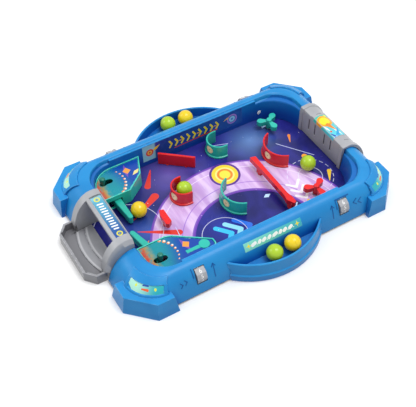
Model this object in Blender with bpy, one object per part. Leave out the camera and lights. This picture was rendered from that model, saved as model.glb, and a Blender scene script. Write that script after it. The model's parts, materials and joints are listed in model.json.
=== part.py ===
"""Tabletop pinball game: a hollow blue plastic frame on four corner feet, a printed
playfield with fixed bumpers and rails, two finger-worked flippers in covered housings,
two free spinners, four score drums in the side walls, two ball pockets, a ball return
with its tray, a grip over the back wall, and seven balls.

Metres, +Z up. The origin is the centre of the plan on the ground, the player sits at -Y.
"""
import math

import bmesh
import bpy
from mathutils import Matrix, Vector

# Overall sizes: tray front to rear feet, pocket to pocket, ground to top of the arch.
OVERALL_LENGTH = 0.335
OVERALL_WIDTH = 0.245
OVERALL_HEIGHT = 0.045

# Fits: the running or resting gap between pieces, and how far a cutter overruns a face.
GAP = 0.0003
OVERRUN = 0.002

# How far the tray stands out from the front wall, and a pocket beyond one ball's width.
TRAY_REACH = 0.0195
POCKET_SLACK = 0.0051

# Corners of the playfield opening, and the board.
PLAY_FRONT_RADIUS = 0.027
PLAY_BACK_RADIUS = 0.040
BOARD_THICKNESS = 0.003
BOARD_EDGE_GRIP = 0.0018
PEG_RADIUS = 0.0018
PEG_LENGTH = 0.0022

# Base cover under the frame.
BASE_LIFT = 0.0008
BASE_THICKNESS = 0.0014
BASE_EDGE_INSET = 0.0008

# Frame: a shell of even wall round the playfield, open below.
FRAME_HEIGHT = 0.034
FRAME_WALL = 0.0024
INNER_WALL_LEAN = 0.0046
SIDE_WALL_DEPTH = 0.0259
FRONT_WALL_DEPTH = 0.0355
BACK_WALL_DEPTH = 0.0303
RIM_CORNER_RADIUS = 0.026
OUTER_CORNER_RADIUS = 0.036
LACE_HOLE_RADIUS = 0.0020
LACE_HOLE_HEIGHT = 0.0152
LACE_HOLE_FROM_BACK = 0.0305
# Inner wall, from the board to the rim: share of the lean, share of the height.
INNER_LEAN_SHARES = (0.0, 0.30, 0.42, 0.80, 0.88, 1.0)
INNER_RISE_SHARES = (0.0, 0.74, 0.795, 0.82, 0.94, 0.98)
# Outer wall, from the rim to the foot: share of the depth left, share of the height.
OUTER_REACH_SHARES = (0.055, 0.13, 0.23, 0.35, 0.46, 0.57, 0.67, 0.76, 0.87, 0.955, 1.0)
OUTER_RISE_SHARES = (0.999, 1.0, 0.99, 0.95, 0.89, 0.81, 0.71, 0.59, 0.40, 0.17, 0.0)
OUTER_ROUND_SHARES = (0.0, 0.02, 0.04, 0.07, 0.10, 0.15, 0.22, 0.32, 0.55, 0.85, 1.0)
# Hollow side of the inner wall, which steps round the ledge under the rim.
HOLLOW_LEAN_SHARES = (0.0, 0.32, 0.84, 0.96)
HOLLOW_RISE_SHARES = (0.0, 0.71, 0.74, 0.90)
# Panel on each long inner wall, flat past the ledge: share of the lean, share of the height.
PANEL_SHARES = ((0.33, 0.76), (0.39, 0.95), (1.1, 0.95), (1.1, 0.80), (0.60, 0.70))

# Corner feet: a faceted block with a raised badge panel that rises over the corner.
FOOT_MARGIN = 0.0047
FOOT_SIDE_MARGIN = 0.0058
FOOT_CHAMFER = 0.0253
FOOT_INNER_SHARE = 0.45
FOOT_SIDE_LENGTH = 0.0226
FOOT_HEIGHT = 0.021
FOOT_DRAFT = 0.0027
FOOT_END_DRAFT = 0.0036
BADGE_RAISE = 0.0020
BADGE_RECESS = 0.0009
# Rows of the badge down the slope: share of the wall's reach, share of the raise.
# The label's bed runs between two of these rows, counted from the top.
BADGE_ROW_SHARES = (0.33, 0.35, 0.46, 0.54, 0.55, 0.57, 0.67, 0.73, 0.74, 0.76, 0.87, 0.955)
BADGE_RAISE_SHARES = (0.3, 0.7, 0.9, 1.0, 1.0, 1.0, 1.05, 1.1, 1.1, 1.1, 1.1, 1.1)
BADGE_LABEL_ROWS = (4, 7)
BADGE_BORDER_SHARE = 0.09
BADGE_TOP_ANGLES = (-88.0, -12.0)
BADGE_FOOT_ANGLES = (-90.0, 4.0)

# Side pockets: crescent trays whose outer wall is one arc in plan.
POCKET_RADIUS = 0.0785
POCKET_OFFSET = 0.0010
POCKET_HEIGHT = 0.0225
POCKET_FLOOR = 0.0112
POCKET_WALL = 0.0024
POCKET_STEP_HEIGHT = 0.0076
POCKET_STEP = 0.0013
POCKET_DRAFT = 0.0012
POCKET_LIFT = 0.0005

# Score drums: ten-sided wheels on stub shafts, in windows through the side walls.
# The axis stands at a share of the frame's height.
DRUM_RADIUS = 0.0096
DRUM_WIDTH = 0.0103
DRUM_SIDES = 10
DRUM_AXIS_SHARE = 0.57647
DRUM_AXIS_FROM_FOOT = 0.0113
DRUM_BACK_OFFSET = 0.0012
DRUM_FACE_TILT = 24.0
DRUM_STUB_RADIUS = 0.0016
DRUM_STUB_LENGTH = 0.0020
WINDOW_MARGIN = 0.0006
BRACKET_PLATE = 0.0016
BRACKET_HALF_LENGTH = 0.0058
BRACKET_EYE = 0.0036
BRACKET_EYE_ANGLE = 40.0

# Ball return: an arch of two cheeks and a bar, a stepped chute and an open tray.
ARCH_HALF_WIDTH = 0.0380
ARCH_FLARE = 0.0032
ARCH_FLARE_DROP = 0.0045
CHUTE_HALF_WIDTH = 0.0298
BAR_THICKNESS = 0.0045
BAR_DROP = 0.0016
BAR_LENGTH = 0.0165
BAR_LIP = 0.0034
LABEL_RECESS = 0.0008
TRAY_HALF_WIDTH = 0.0385
TRAY_HEIGHT = 0.0125
TRAY_WALL = 0.0022
TRAY_FLOOR = 0.0030
TRAY_CHAMFER_X = 0.0110
TRAY_CHAMFER_Y = 0.0092
CHUTE_STEP = 0.0011
CHUTE_STEP_RADIUS = 0.078
CHUTE_UPPER_STEP = 0.0044
CHUTE_LOWER_STEP = 0.0055
# Cheek outline: share of the run from the arch's back to its front, share of the rise
# above the tray. The flare drops at the back and turns forward over its share of the run.
CHEEK_RUN_SHARES = (0.0, 0.12, 0.25, 0.36, 0.46, 0.56, 0.66, 0.75, 0.83, 0.90, 0.955, 1.0)
CHEEK_RISE_SHARES = (0.958, 0.993, 1.0, 0.983, 0.941, 0.877, 0.783, 0.672, 0.532, 0.364, 0.175, 0.0)
CHEEK_TURN_SHARE = 0.83
ARCH_BACK_GAP = 0.0045
ARCH_PROUD = 0.0018
CHUTE_FROM_ARCH = 0.0145

# Back grip: a saddle over the back wall, with a collar at each end.
GRIP_HALF_LENGTH = 0.0385
GRIP_COLLAR_LENGTH = 0.0048
GRIP_COLLAR_RAISE = 0.0013
GRIP_WALL = 0.0024
GRIP_PAD_HALF_LENGTH = 0.0190
GRIP_PAD_RAISE = 0.0014
GRIP_PAD_RAMP = 0.0030
GRIP_PAD_ROWS = 4
GRIP_GROOVE_WIDTH = 0.0016
GRIP_GROOVE_DEPTH = 0.0014
GRIP_GROOVE_LENGTH = 0.0150
GRIP_GROOVE_SHARES = (-0.56, -0.28, 0.165, 0.455)

# Flipper housings: walls on the board, a lid with an arc slot, and the lever inside.
HOUSING_HEIGHT = 0.018
HOUSING_WALL = 0.0026
HOUSING_LEDGE_DROP = 0.0026
HOUSING_WIDTH = 0.0385
HOUSING_STRAIGHT = 0.0305
HOUSING_RIGHT_REACH = 0.0700
HOUSING_RIGHT_CORNER = 0.0065
HOUSING_RIGHT_TOP = 0.0130
HOUSING_RIGHT_BEND = (0.0026, 0.0065)
HOUSING_LEFT_REACH = 0.0605
HOUSING_LEFT_BEND = (0.0234, 0.0099)
WINDOW_SILL = 0.0010
LID_THICKNESS = 0.0014
PIVOT_FROM_EDGE = 0.0080
PIVOT_FROM_FRONT = 0.0148
PIVOT_PIN_RADIUS = 0.0022
PIVOT_FLANGE_RADIUS = 0.0045
PIVOT_FLANGE_HEIGHT = 0.0019
FLIPPER_HALF_GAP = 0.0070
FLIPPER_HUB_RADIUS = 0.0055
FLIPPER_ROOT_RADIUS = 0.0042
FLIPPER_TIP_RADIUS = 0.0026
FLIPPER_HEIGHT = 0.0090
FLIPPER_EDGE = 0.0006
LEVER_LENGTH = 0.0152
LEVER_PAD_RADIUS = 0.0032
LEVER_BEND = 162.0
FLIPPER_MID_ANGLE = -14.0
FLIPPER_SWING = 16.0
RIGHT_REST_ANGLE = -12.0
LEFT_REST_ANGLE = 2.0
PEG_STEM_RADIUS = 0.0026
PEG_CAP_RADIUS = 0.0031
PEG_SPIGOT_RADIUS = 0.0013
FINGER_PEG_HEIGHT = 0.0145
# Cap of the finger peg: share of its radius across, share of it below the crown.
PEG_CAP_SHARES = ((1.0, 1.6), (1.0, 0.5), (0.8, 0.17), (0.4, 0.0))
SLOT_CLEARANCE = 0.0007
LID_BOSS_FROM_WALL = 0.0077
LID_BOSS_FROM_END = 0.0083
LID_BOSS_RADIUS = 0.0055
LID_BOSS_RAISE = 0.0010
LID_BAR_LENGTH = 0.0200
LID_BAR_WIDTH = 0.0038

# Bumpers and rails on the board.
BUMPER_HEIGHT = 0.0168
BUMPER_WALL = 0.0018
BUMPER_FLANGE = 0.0011
BUMPER_FLANGE_HEIGHT = 0.0016
BUMPER_FILLET = 0.0006
CUP_RADIUS = 0.0135
CUP_ARM_LENGTH = 0.0038
CUP_HALF_ANGLE = 90.0
WIDE_RADIUS = 0.0222
WIDE_HALF_ANGLE = 72.0
GUIDE_LENGTH = 0.0410
GUIDE_THICKNESS = 0.0026
GUIDE_HEIGHT = 0.0154
GUIDE_ANGLE = 50.0
GUIDE_FROM_WALL = 0.0034
GUIDE_PEG_SHARES = (0.25, 0.75)
RAIL_WIDTH = 0.0062
RAIL_HEIGHT = 0.0130
RAIL_THICKNESS = 0.0062
RAIL_LEG_LENGTH = 0.0070
RAIL_LEG_WIDTH = 0.0034
SHORT_RAIL_LENGTH = 0.0220
SHORT_RAIL_WIDTH = 0.0074
SHORT_LEG_RADIUS = 0.0024
# Rails in plan: share of the length from the left end (the short one from its middle,
# in half lengths), share of the half width to the back.
RAIL_LEG_SHARES = (0.19, 0.925)
RAIL_OUTLINE_SHARES = (
    (0.0, -1.0),
    (0.30, -0.78),
    (0.80, -0.78),
    (0.90, -1.25),
    (1.0, 0.1),
    (0.98, 1.1),
    (0.90, 1.2),
    (0.80, 0.78),
    (0.30, 0.78),
    (0.02, 1.0),
)
SHORT_RAIL_OUTLINE_SHARES = (
    (-0.30, -0.9),
    (0.80, -1.0),
    (1.0, -0.3),
    (0.72, 0.9),
    (-0.85, 1.0),
    (-1.0, -0.2),
)
# Places on the board: share of its half width to the right, share of its length from the
# front. What stands by a side wall keeps its own distance from it.
TEAL_CUP_FROM_WALL = 0.0195
TEAL_CUP_Y_SHARE = 0.604
RED_CUP_SHARES = (-0.199, 0.329)
TEAL_WIDE_SHARES = (0.264, 0.534)
RED_WIDE_SHARES = (-0.195, 0.842)
GUIDE_Y_SHARE = 0.332
RAIL_END_SHARES = (-0.215, 0.8454)
RAIL_Y_SHARE = 0.683
SHORT_RAIL_SHARES = (0.141, 0.183)

# Spinners: three rounded blades on a hub that turns on a pin.
SPINNER_HUB_RADIUS = 0.0032
SPINNER_HEIGHT = 0.0118
SPINNER_BLADE_HEIGHT = 0.0056
SPINNER_BLADE_LIFT = 0.0040
SPINNER_REACH = 0.0138
SPINNER_LOBE_HALF = 0.0037
SPINNER_NECK_HALF = 0.0019
SPINNER_CHAMFER = 0.0007
SPINNER_BLADES = 3
SPINNER_PHASE = 3.0
SPINNER_ROOT_SHARE = 0.7
SPINNER_SWELL_POWER = 1.7
SPINNER_TIP_POWER = 8
SPINNER_PIN_RADIUS = 0.0013
SPINNER_FLANGE_RADIUS = 0.0034
SPINNER_FLANGE_HEIGHT = 0.0012
TEAL_SPINNER_FROM_WALL = 0.0185
TEAL_SPINNER_FROM_BACK = 0.0294
RED_SPINNER_FROM_WALL = 0.0205
RED_SPINNER_Y_SHARE = 0.824

# Balls and screws. In a pocket the balls' places along it are shares of their radius.
# The lower ball stands off the middle by a share of the half gap between the housings.
BALL_RADIUS = 0.0085
UPPER_BALL_SHARES = (0.262, 0.881)
LOWER_BALL_GAP_SHARE = -0.42
CUP_BALL_OFFSET = (-0.0012, 0.0020)
POCKET_BALL_SHARES = (-0.924, 1.66)
SCREW_HEAD_RADIUS = 0.0026
SCREW_SHANK_RADIUS = 0.0012
SCREW_LENGTH = 0.0080
SCREW_HEAD_HEIGHT = 0.0006
BOSS_RADIUS = 0.0032
BOSS_REACH_SHARE = 0.95
BOSS_HEIGHT = 0.0180
BOSS_BORE_RADIUS = 0.0015

# Levels and edges that follow from the sizes above.
BASE_TOP = BASE_LIFT + BASE_THICKNESS
BOARD_BOTTOM = BASE_TOP + GAP
BOARD_TOP = BOARD_BOTTOM + BOARD_THICKNESS
SEAT = BOARD_TOP + GAP
FRAME_BOTTOM = BASE_TOP + GAP
TRAY_FRONT_Y = -OVERALL_LENGTH / 2
WALL_FRONT_Y = TRAY_FRONT_Y + TRAY_REACH
WALL_BACK_Y = OVERALL_LENGTH / 2 - FOOT_MARGIN
POCKET_REACH = BALL_RADIUS * 2 + POCKET_SLACK
WALL_SIDE_X = OVERALL_WIDTH / 2 - POCKET_REACH
PLAY_FRONT_Y = WALL_FRONT_Y + FRONT_WALL_DEPTH
PLAY_BACK_Y = WALL_BACK_Y - BACK_WALL_DEPTH
PLAY_LENGTH = PLAY_BACK_Y - PLAY_FRONT_Y
PLAY_HALF_WIDTH = WALL_SIDE_X - SIDE_WALL_DEPTH
FOOT_FRONT_Y = WALL_FRONT_Y - FOOT_MARGIN
FOOT_MIDDLE_Y = (FOOT_FRONT_Y + OVERALL_LENGTH / 2) / 2
FOOT_END_Y = FOOT_FRONT_Y + FOOT_CHAMFER + FOOT_SIDE_LENGTH
ARCH_BACK_Y = PLAY_FRONT_Y - ARCH_BACK_GAP
ARCH_FRONT_Y = WALL_FRONT_Y - ARCH_PROUD
CHUTE_BACK_Y = ARCH_BACK_Y - CHUTE_FROM_ARCH
HOUSING_HALF_GAP = PLAY_HALF_WIDTH - HOUSING_WIDTH
HOUSING_TOP = SEAT + HOUSING_HEIGHT
PIVOT_X = HOUSING_HALF_GAP + PIVOT_FROM_EDGE
FLIPPER_LENGTH = PIVOT_X - FLIPPER_HALF_GAP

# A score drum stands midway between the end of the pocket and the foot on either side.
POCKET_CENTRE_Y = (PLAY_FRONT_Y + PLAY_BACK_Y) / 2 - POCKET_OFFSET
POCKET_HALF_LENGTH = math.sqrt(POCKET_REACH * (2 * POCKET_RADIUS - POCKET_REACH))
DRUM_AXIS_X = WALL_SIDE_X - DRUM_AXIS_FROM_FOOT
DRUM_AXIS_HEIGHT = FRAME_HEIGHT * DRUM_AXIS_SHARE
DRUM_FRONT_Y = (FOOT_END_Y + POCKET_CENTRE_Y - POCKET_HALF_LENGTH) / 2
DRUM_BACK_Y = (2 * FOOT_MIDDLE_Y - FOOT_END_Y + POCKET_CENTRE_Y + POCKET_HALF_LENGTH) / 2 + DRUM_BACK_OFFSET

CORNER_STEPS = 8
ROUND_SIDES = 16
SMALL_SIDES = 12
SMOOTH_ANGLE = math.radians(38.0)
MITRE_LIMIT_SHARE = 0.3


def make_material(name, colour, roughness, metallic=0.0):
    """A plain material: base colour, roughness and metallic value."""
    material = bpy.data.materials.new(name)
    material.use_nodes = True
    shader = material.node_tree.nodes["Principled BSDF"]
    shader.inputs["Base Color"].default_value = (*colour, 1.0)
    shader.inputs["Roughness"].default_value = roughness
    shader.inputs["Metallic"].default_value = metallic
    material.diffuse_color = (*colour, 1.0)
    return material


def finish_object(name, bm, material=None):
    """Turn a mesh under construction into a named object with outward faces."""
    bmesh.ops.recalc_face_normals(bm, faces=bm.faces)
    mesh = bpy.data.meshes.new(name)
    bm.to_mesh(mesh)
    bm.free()
    mesh.shade_smooth()
    mesh.set_sharp_from_angle(angle=SMOOTH_ANGLE)
    thing = bpy.data.objects.new(name, mesh)
    bpy.context.scene.collection.objects.link(thing)
    if material is None:
        thing.hide_render = True
        thing.display_type = "WIRE"
    else:
        mesh.materials.append(material)
    return thing


def combine(thing, tool, operation):
    """Join, cut or intersect an object with a tool by a Boolean modifier."""
    modifier = thing.modifiers.new(operation.title(), "BOOLEAN")
    modifier.object = tool
    modifier.operation = operation
    modifier.solver = "EXACT"


def round_edges(thing, width, segments=1):
    """A small moulded radius on every edge sharper than the smoothing angle."""
    modifier = thing.modifiers.new("Edges", "BEVEL")
    modifier.width = width
    modifier.segments = segments
    modifier.limit_method = "ANGLE"
    modifier.angle_limit = SMOOTH_ANGLE


def loft(bm, rings, loop=False):
    """Skin a list of rings of equal length; cap the ends unless the loft closes."""
    rows = []
    for ring in rings:
        rows.append([bm.verts.new(point) for point in ring])
    pairs = list(zip(rows, rows[1:]))
    if loop:
        pairs.append((rows[-1], rows[0]))
    for low, high in pairs:
        for i in range(len(low)):
            j = (i + 1) % len(low)
            bm.faces.new((low[i], low[j], high[j], high[i]))
    if not loop:
        bm.faces.new(reversed(rows[0]))
        bm.faces.new(rows[-1])


def level(outline, height):
    """The plan outline at one height."""
    return [Vector((x, y, height)) for x, y in outline]


def prism(bm, outline, bottom, top):
    loft(bm, [level(outline, bottom), level(outline, top)])


def circle(centre, radius, sides=ROUND_SIDES, start=0.0):
    points = []
    for i in range(sides):
        angle = start + 2 * math.pi * i / sides
        points.append((centre[0] + radius * math.cos(angle), centre[1] + radius * math.sin(angle)))
    return points


def turned(bm, centre, profile, sides=ROUND_SIDES):
    """A piece turned about the vertical through centre; profile is (radius, height)."""
    loft(bm, [level(circle(centre, radius, sides), height) for radius, height in profile])


def turned_across(bm, profile, sides, start=0.0):
    """A piece turned about the Y axis through the origin; profile is (radius, y)."""
    rings = []
    for radius, y in profile:
        rings.append([Vector((x, y, z)) for x, z in circle((0.0, 0.0), radius, sides, start)])
    loft(bm, rings)


def box(bm, low, high):
    outline = ((low[0], low[1]), (high[0], low[1]), (high[0], high[1]), (low[0], high[1]))
    prism(bm, outline, low[2], high[2])


def slab_across(bm, outline, start, end):
    """Extrude an outline given in the (Y, Z) plane along X."""
    rings = [[Vector((x, y, z)) for y, z in outline] for x in (start, end)]
    loft(bm, rings)


def rounded_rectangle(half_x, front, back, front_radius, back_radius, steps=CORNER_STEPS):
    """Plan outline with round corners, counter-clockwise from the right front."""
    corners = (
        (1.0, front + front_radius, front_radius, -90.0),
        (1.0, back - back_radius, back_radius, 0.0),
        (-1.0, back - back_radius, back_radius, 90.0),
        (-1.0, front + front_radius, front_radius, 180.0),
    )
    points = []
    for side, y, radius, start in corners:
        x = side * (half_x - radius)
        for i in range(steps + 1):
            angle = math.radians(start + 90.0 * i / steps)
            points.append((x + radius * math.cos(angle), y + radius * math.sin(angle)))
    return points


def inset(outline, distance):
    """Move every edge of a counter-clockwise outline inwards by the distance."""
    count = len(outline)
    points = []
    for i in range(count):
        before = Vector(outline[i]) - Vector(outline[i - 1])
        after = Vector(outline[(i + 1) % count]) - Vector(outline[i])
        before.normalize()
        after.normalize()
        normal = Vector((-before.y - after.y, before.x + after.x)).normalized()
        cosine = max(normal.dot(Vector((-after.y, after.x))), MITRE_LIMIT_SHARE)
        points.append(tuple(Vector(outline[i]) + normal * distance / cosine))
    return points


def capsule(start, start_radius, end, end_radius, steps=6):
    """Plan outline of two unequal rounds joined by their tangents."""
    axis = Vector(end) - Vector(start)
    heading = math.atan2(axis.y, axis.x)
    spread = math.acos((start_radius - end_radius) / axis.length)
    points = []
    for centre, radius, low, high in (
        (start, start_radius, spread, 2 * math.pi - spread),
        (end, end_radius, -spread, spread),
    ):
        for i in range(steps + 1):
            angle = heading + low + (high - low) * i / steps
            points.append((centre[0] + radius * math.cos(angle), centre[1] + radius * math.sin(angle)))
    return points


def on_board(x_share, y_share):
    """A place on the board from its two shares."""
    return (x_share * PLAY_HALF_WIDTH, PLAY_FRONT_Y + y_share * PLAY_LENGTH)


# Frame shell.


def inner_wall_sections(leans, rises, depth):
    """Sections at one depth in the inner wall: growth in plan, corner radii, height."""
    sections = []
    for lean, rise in zip(leans, rises):
        radii = []
        for radius in (PLAY_FRONT_RADIUS, PLAY_BACK_RADIUS):
            radii.append(radius + lean * (RIM_CORNER_RADIUS - radius) + depth)
        height = SEAT + rise * (FRAME_HEIGHT - SEAT)
        grow = lean * INNER_WALL_LEAN + depth
        sections.append((grow, grow, grow, *radii, height))
    return sections


def outer_wall_sections():
    """Sections of the outer wall: growth at side, front and back, corner radii, height."""
    sections = []
    for reach, rise, rounding in zip(OUTER_REACH_SHARES, OUTER_RISE_SHARES, OUTER_ROUND_SHARES):
        grows = []
        for depth in (SIDE_WALL_DEPTH, FRONT_WALL_DEPTH, BACK_WALL_DEPTH):
            grows.append(INNER_WALL_LEAN + reach * (depth - INNER_WALL_LEAN))
        radius = RIM_CORNER_RADIUS + rounding * (OUTER_CORNER_RADIUS - RIM_CORNER_RADIUS)
        height = FRAME_BOTTOM + rise * (FRAME_HEIGHT - FRAME_BOTTOM)
        sections.append((*grows, radius, radius, height))
    return sections


def section_ring(section, grow=0.0, height=None):
    """The closed ring of one wall section, grown in plan by an extra amount."""
    side, front, back, front_radius, back_radius, own_height = section
    outline = rounded_rectangle(
        PLAY_HALF_WIDTH + side + grow,
        PLAY_FRONT_Y - front - grow,
        PLAY_BACK_Y + back + grow,
        front_radius + grow,
        back_radius + grow,
    )
    return level(outline, own_height if height is None else height)


def offset_sections(sections, distance):
    """Move the sections along the wall's normal, seen in the section of the side wall."""
    moved = []
    for i, section in enumerate(sections):
        before = sections[max(i - 1, 0)]
        after = sections[min(i + 1, len(sections) - 1)]
        along = Vector((after[0] - before[0], after[5] - before[5])).normalized()
        push = Vector((-along.y, along.x)) * distance
        moved.append((*(value + push.x for value in section[:5]), section[5] + push.y))
    return moved


def wall_envelope(name, clearance):
    """A closed solid a little larger than the outside of the frame, used as a cutter."""
    sections = offset_sections(outer_wall_sections(), clearance)
    bm = bmesh.new()
    rings = [section_ring(sections[-1], height=-OVERRUN)]
    rings += [section_ring(section) for section in reversed(sections)]
    loft(bm, rings)
    return finish_object(name, bm)


def drum_centres():
    centres = []
    for side_name, side in (("right", 1.0), ("left", -1.0)):
        for end_name, y in (("front", DRUM_FRONT_Y), ("back", DRUM_BACK_Y)):
            centres.append((f"{side_name}_{end_name}", side, y))
    return centres


def boss_places():
    """The six screw bosses, on the hollow side of the inner wall."""
    stand_off = FRAME_WALL + BOSS_RADIUS * BOSS_REACH_SHARE
    diagonal = math.cos(math.radians(45.0))
    front = (PLAY_FRONT_RADIUS + stand_off) * diagonal - PLAY_FRONT_RADIUS
    back = (PLAY_BACK_RADIUS + stand_off) * diagonal - PLAY_BACK_RADIUS
    places = []
    for side in (1.0, -1.0):
        places.append((side * (PLAY_HALF_WIDTH + front), PLAY_FRONT_Y - front))
        places.append((side * (PLAY_HALF_WIDTH + stand_off), POCKET_CENTRE_Y))
        places.append((side * (PLAY_HALF_WIDTH + back), PLAY_BACK_Y + back))
    return places


def cut_windows(frame):
    """A window for each score drum: the drum's own roll with a margin, cut from the wall."""
    radius = DRUM_RADIUS + WINDOW_MARGIN
    half_width = DRUM_WIDTH / 2 + WINDOW_MARGIN
    for name, side, y in drum_centres():
        bm = bmesh.new()
        turned_across(bm, ((radius, -half_width), (radius, half_width)), ROUND_SIDES * 2)
        cutter = finish_object(f"window_{name}", bm)
        cutter.location = (side * DRUM_AXIS_X, y, DRUM_AXIS_HEIGHT)
        combine(frame, cutter, "DIFFERENCE")


def side_panels():
    """The long inner walls run up flat past the ledge, as far as the round corners."""
    lowest = PANEL_SHARES[0][0]
    front_radius = PLAY_FRONT_RADIUS + lowest * (RIM_CORNER_RADIUS - PLAY_FRONT_RADIUS)
    back_radius = PLAY_BACK_RADIUS + lowest * (RIM_CORNER_RADIUS - PLAY_BACK_RADIUS)
    front = PLAY_FRONT_Y + front_radius
    back = PLAY_BACK_Y - back_radius
    bm = bmesh.new()
    for side in (1.0, -1.0):
        section = []
        for lean, rise in PANEL_SHARES:
            x = side * (PLAY_HALF_WIDTH + lean * INNER_WALL_LEAN)
            section.append((x, SEAT + rise * (FRAME_HEIGHT - SEAT)))
        rings = [[Vector((x, y, z)) for x, z in section] for y in (front, back)]
        loft(bm, rings)
    return finish_object("side_panels", bm)


def make_frame(material):
    """The moulded shell: inner wall, stepped rim, sloped outer wall, hollow below."""
    inner = inner_wall_sections(INNER_LEAN_SHARES, INNER_RISE_SHARES, 0.0)
    outer = outer_wall_sections()
    hollow = inner_wall_sections(HOLLOW_LEAN_SHARES, HOLLOW_RISE_SHARES, FRAME_WALL)
    hollow += offset_sections(outer, -FRAME_WALL)[2:]
    rings = [section_ring(section) for section in inner + outer]
    rings.append(section_ring(hollow[-1], height=FRAME_BOTTOM))
    rings += [section_ring(section) for section in reversed(hollow[:-1])]
    bm = bmesh.new()
    loft(bm, rings, loop=True)
    frame = finish_object("frame_shell", bm, material)

    bm = bmesh.new()
    for place in boss_places():
        turned(bm, place, ((BOSS_RADIUS, FRAME_BOTTOM), (BOSS_RADIUS, BOSS_HEIGHT)), SMALL_SIDES)
    combine(frame, finish_object("boss_posts", bm), "UNION")
    combine(frame, side_panels(), "UNION")

    bm = bmesh.new()
    for place in boss_places():
        bore = ((BOSS_BORE_RADIUS, FRAME_BOTTOM - OVERRUN), (BOSS_BORE_RADIUS, FRAME_BOTTOM + SCREW_LENGTH))
        turned(bm, place, bore, SMALL_SIDES)
    combine(frame, finish_object("boss_bores", bm), "DIFFERENCE")

    # The front wall is open for the ball return, and the back wall is notched for the grip.
    bm = bmesh.new()
    half = ARCH_HALF_WIDTH + ARCH_FLARE + GAP
    box(bm, (-half, WALL_FRONT_Y - OVERRUN, -OVERRUN), (half, PLAY_FRONT_Y + OVERRUN, OVERALL_HEIGHT))
    half = GRIP_HALF_LENGTH + GAP
    notch_back = PLAY_BACK_Y + GAP + GRIP_WALL + INNER_WALL_LEAN / 4
    low = (-half, PLAY_BACK_Y - PLAY_BACK_RADIUS / 4, SEAT - OVERRUN)
    box(bm, low, (half, notch_back, OVERALL_HEIGHT))
    hole_y = PLAY_BACK_Y - LACE_HOLE_FROM_BACK
    hole = [(hole_y + y, LACE_HOLE_HEIGHT + z) for y, z in circle((0.0, 0.0), LACE_HOLE_RADIUS, SMALL_SIDES)]
    slab_across(bm, hole, OVERRUN - PLAY_HALF_WIDTH, -WALL_SIDE_X - OVERRUN)
    combine(frame, finish_object("wall_openings", bm), "DIFFERENCE")
    cut_windows(frame)


# Base cover and playfield board.


def make_base(material):
    """Flat plate under the frame and the board, cut back for the ball return."""
    foot = outer_wall_sections()[-1]
    bm = bmesh.new()
    outline = [(point.x, point.y) for point in section_ring(foot, grow=-BASE_EDGE_INSET)]
    prism(bm, outline, BASE_LIFT, BASE_TOP)
    base = finish_object("base_cover", bm, material)
    bm = bmesh.new()
    half = ARCH_HALF_WIDTH + ARCH_FLARE + GAP
    low = (-half, WALL_FRONT_Y - OVERRUN, -OVERRUN)
    box(bm, low, (half, CHUTE_BACK_Y + GAP, BASE_TOP + OVERRUN))
    for place in boss_places():
        profile = ((SCREW_SHANK_RADIUS + GAP, -OVERRUN), (SCREW_SHANK_RADIUS + GAP, BASE_TOP + OVERRUN))
        turned(bm, place, profile, SMALL_SIDES)
    combine(base, finish_object("base_cutters", bm), "DIFFERENCE")


def make_board(material, peg_places):
    """Printed board under the frame's inner edge, with a tongue under the arch."""
    bm = bmesh.new()
    grip = BOARD_EDGE_GRIP
    outline = rounded_rectangle(
        PLAY_HALF_WIDTH + grip,
        PLAY_FRONT_Y - grip,
        PLAY_BACK_Y + grip,
        PLAY_FRONT_RADIUS + grip,
        PLAY_BACK_RADIUS + grip,
    )
    tongue = CHUTE_HALF_WIDTH - GAP
    front = PLAY_FRONT_Y - grip
    outline += [(-tongue, front), (-tongue, CHUTE_BACK_Y), (tongue, CHUTE_BACK_Y), (tongue, front)]
    prism(bm, outline, BOARD_BOTTOM, BOARD_TOP)
    board = finish_object("playfield_board", bm, material)
    bm = bmesh.new()
    for place in peg_places:
        profile = ((PEG_RADIUS + GAP, BOARD_BOTTOM - OVERRUN), (PEG_RADIUS + GAP, BOARD_TOP + OVERRUN))
        turned(bm, place, profile, SMALL_SIDES)
    combine(board, finish_object("peg_holes", bm), "DIFFERENCE")


# Corner feet with their badge panels.


def foot_outline(draft):
    """Right front foot in plan; draft is 0 at the ground and 1 at the top edge."""
    face = draft * FOOT_DRAFT
    front = FOOT_FRONT_Y + face
    side = WALL_SIDE_X + FOOT_SIDE_MARGIN - face
    corner_x = WALL_SIDE_X + FOOT_SIDE_MARGIN - FOOT_CHAMFER
    corner_y = FOOT_FRONT_Y + FOOT_CHAMFER
    # Both ends of the 45 degree chamfer shift so that all three faces draft alike.
    slant = face * (1 - math.tan(math.radians(45.0 / 2)))
    end = draft * FOOT_END_DRAFT
    inner_x = TRAY_HALF_WIDTH + FOOT_INNER_SHARE * (corner_x - TRAY_HALF_WIDTH) + end
    inner_y = FOOT_END_Y - end
    return (
        (inner_x, front),
        (corner_x - face + slant, front),
        (side, corner_y + face - slant),
        (side, inner_y),
        (WALL_SIDE_X - FOOT_CHAMFER / 2, inner_y),
        (inner_x, WALL_FRONT_Y + FOOT_CHAMFER / 2),
    )


def badge_points(section, angles, side, end):
    """Points round one corner of a wall section, angles as for the right front corner."""
    grow_x, front, back, radius, back_radius, height = section
    if end < 0:
        radius = back_radius
    centre_x = PLAY_HALF_WIDTH + grow_x - radius
    centre_y = PLAY_FRONT_Y - front + radius if end > 0 else PLAY_BACK_Y + back - radius
    points = []
    for angle in angles:
        x = side * (centre_x + radius * math.cos(angle))
        points.append(Vector((x, centre_y + end * radius * math.sin(angle), height)))
    return points


def section_at(sections, reach):
    """The wall section at one share of the reach, between its neighbours."""
    count = len(OUTER_REACH_SHARES)
    i = min(max(j for j in range(count) if OUTER_REACH_SHARES[j] <= reach), count - 2)
    span = OUTER_REACH_SHARES[i + 1] - OUTER_REACH_SHARES[i]
    share = (reach - OUTER_REACH_SHARES[i]) / span
    return tuple(a + share * (b - a) for a, b in zip(sections[i], sections[i + 1]))


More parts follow.
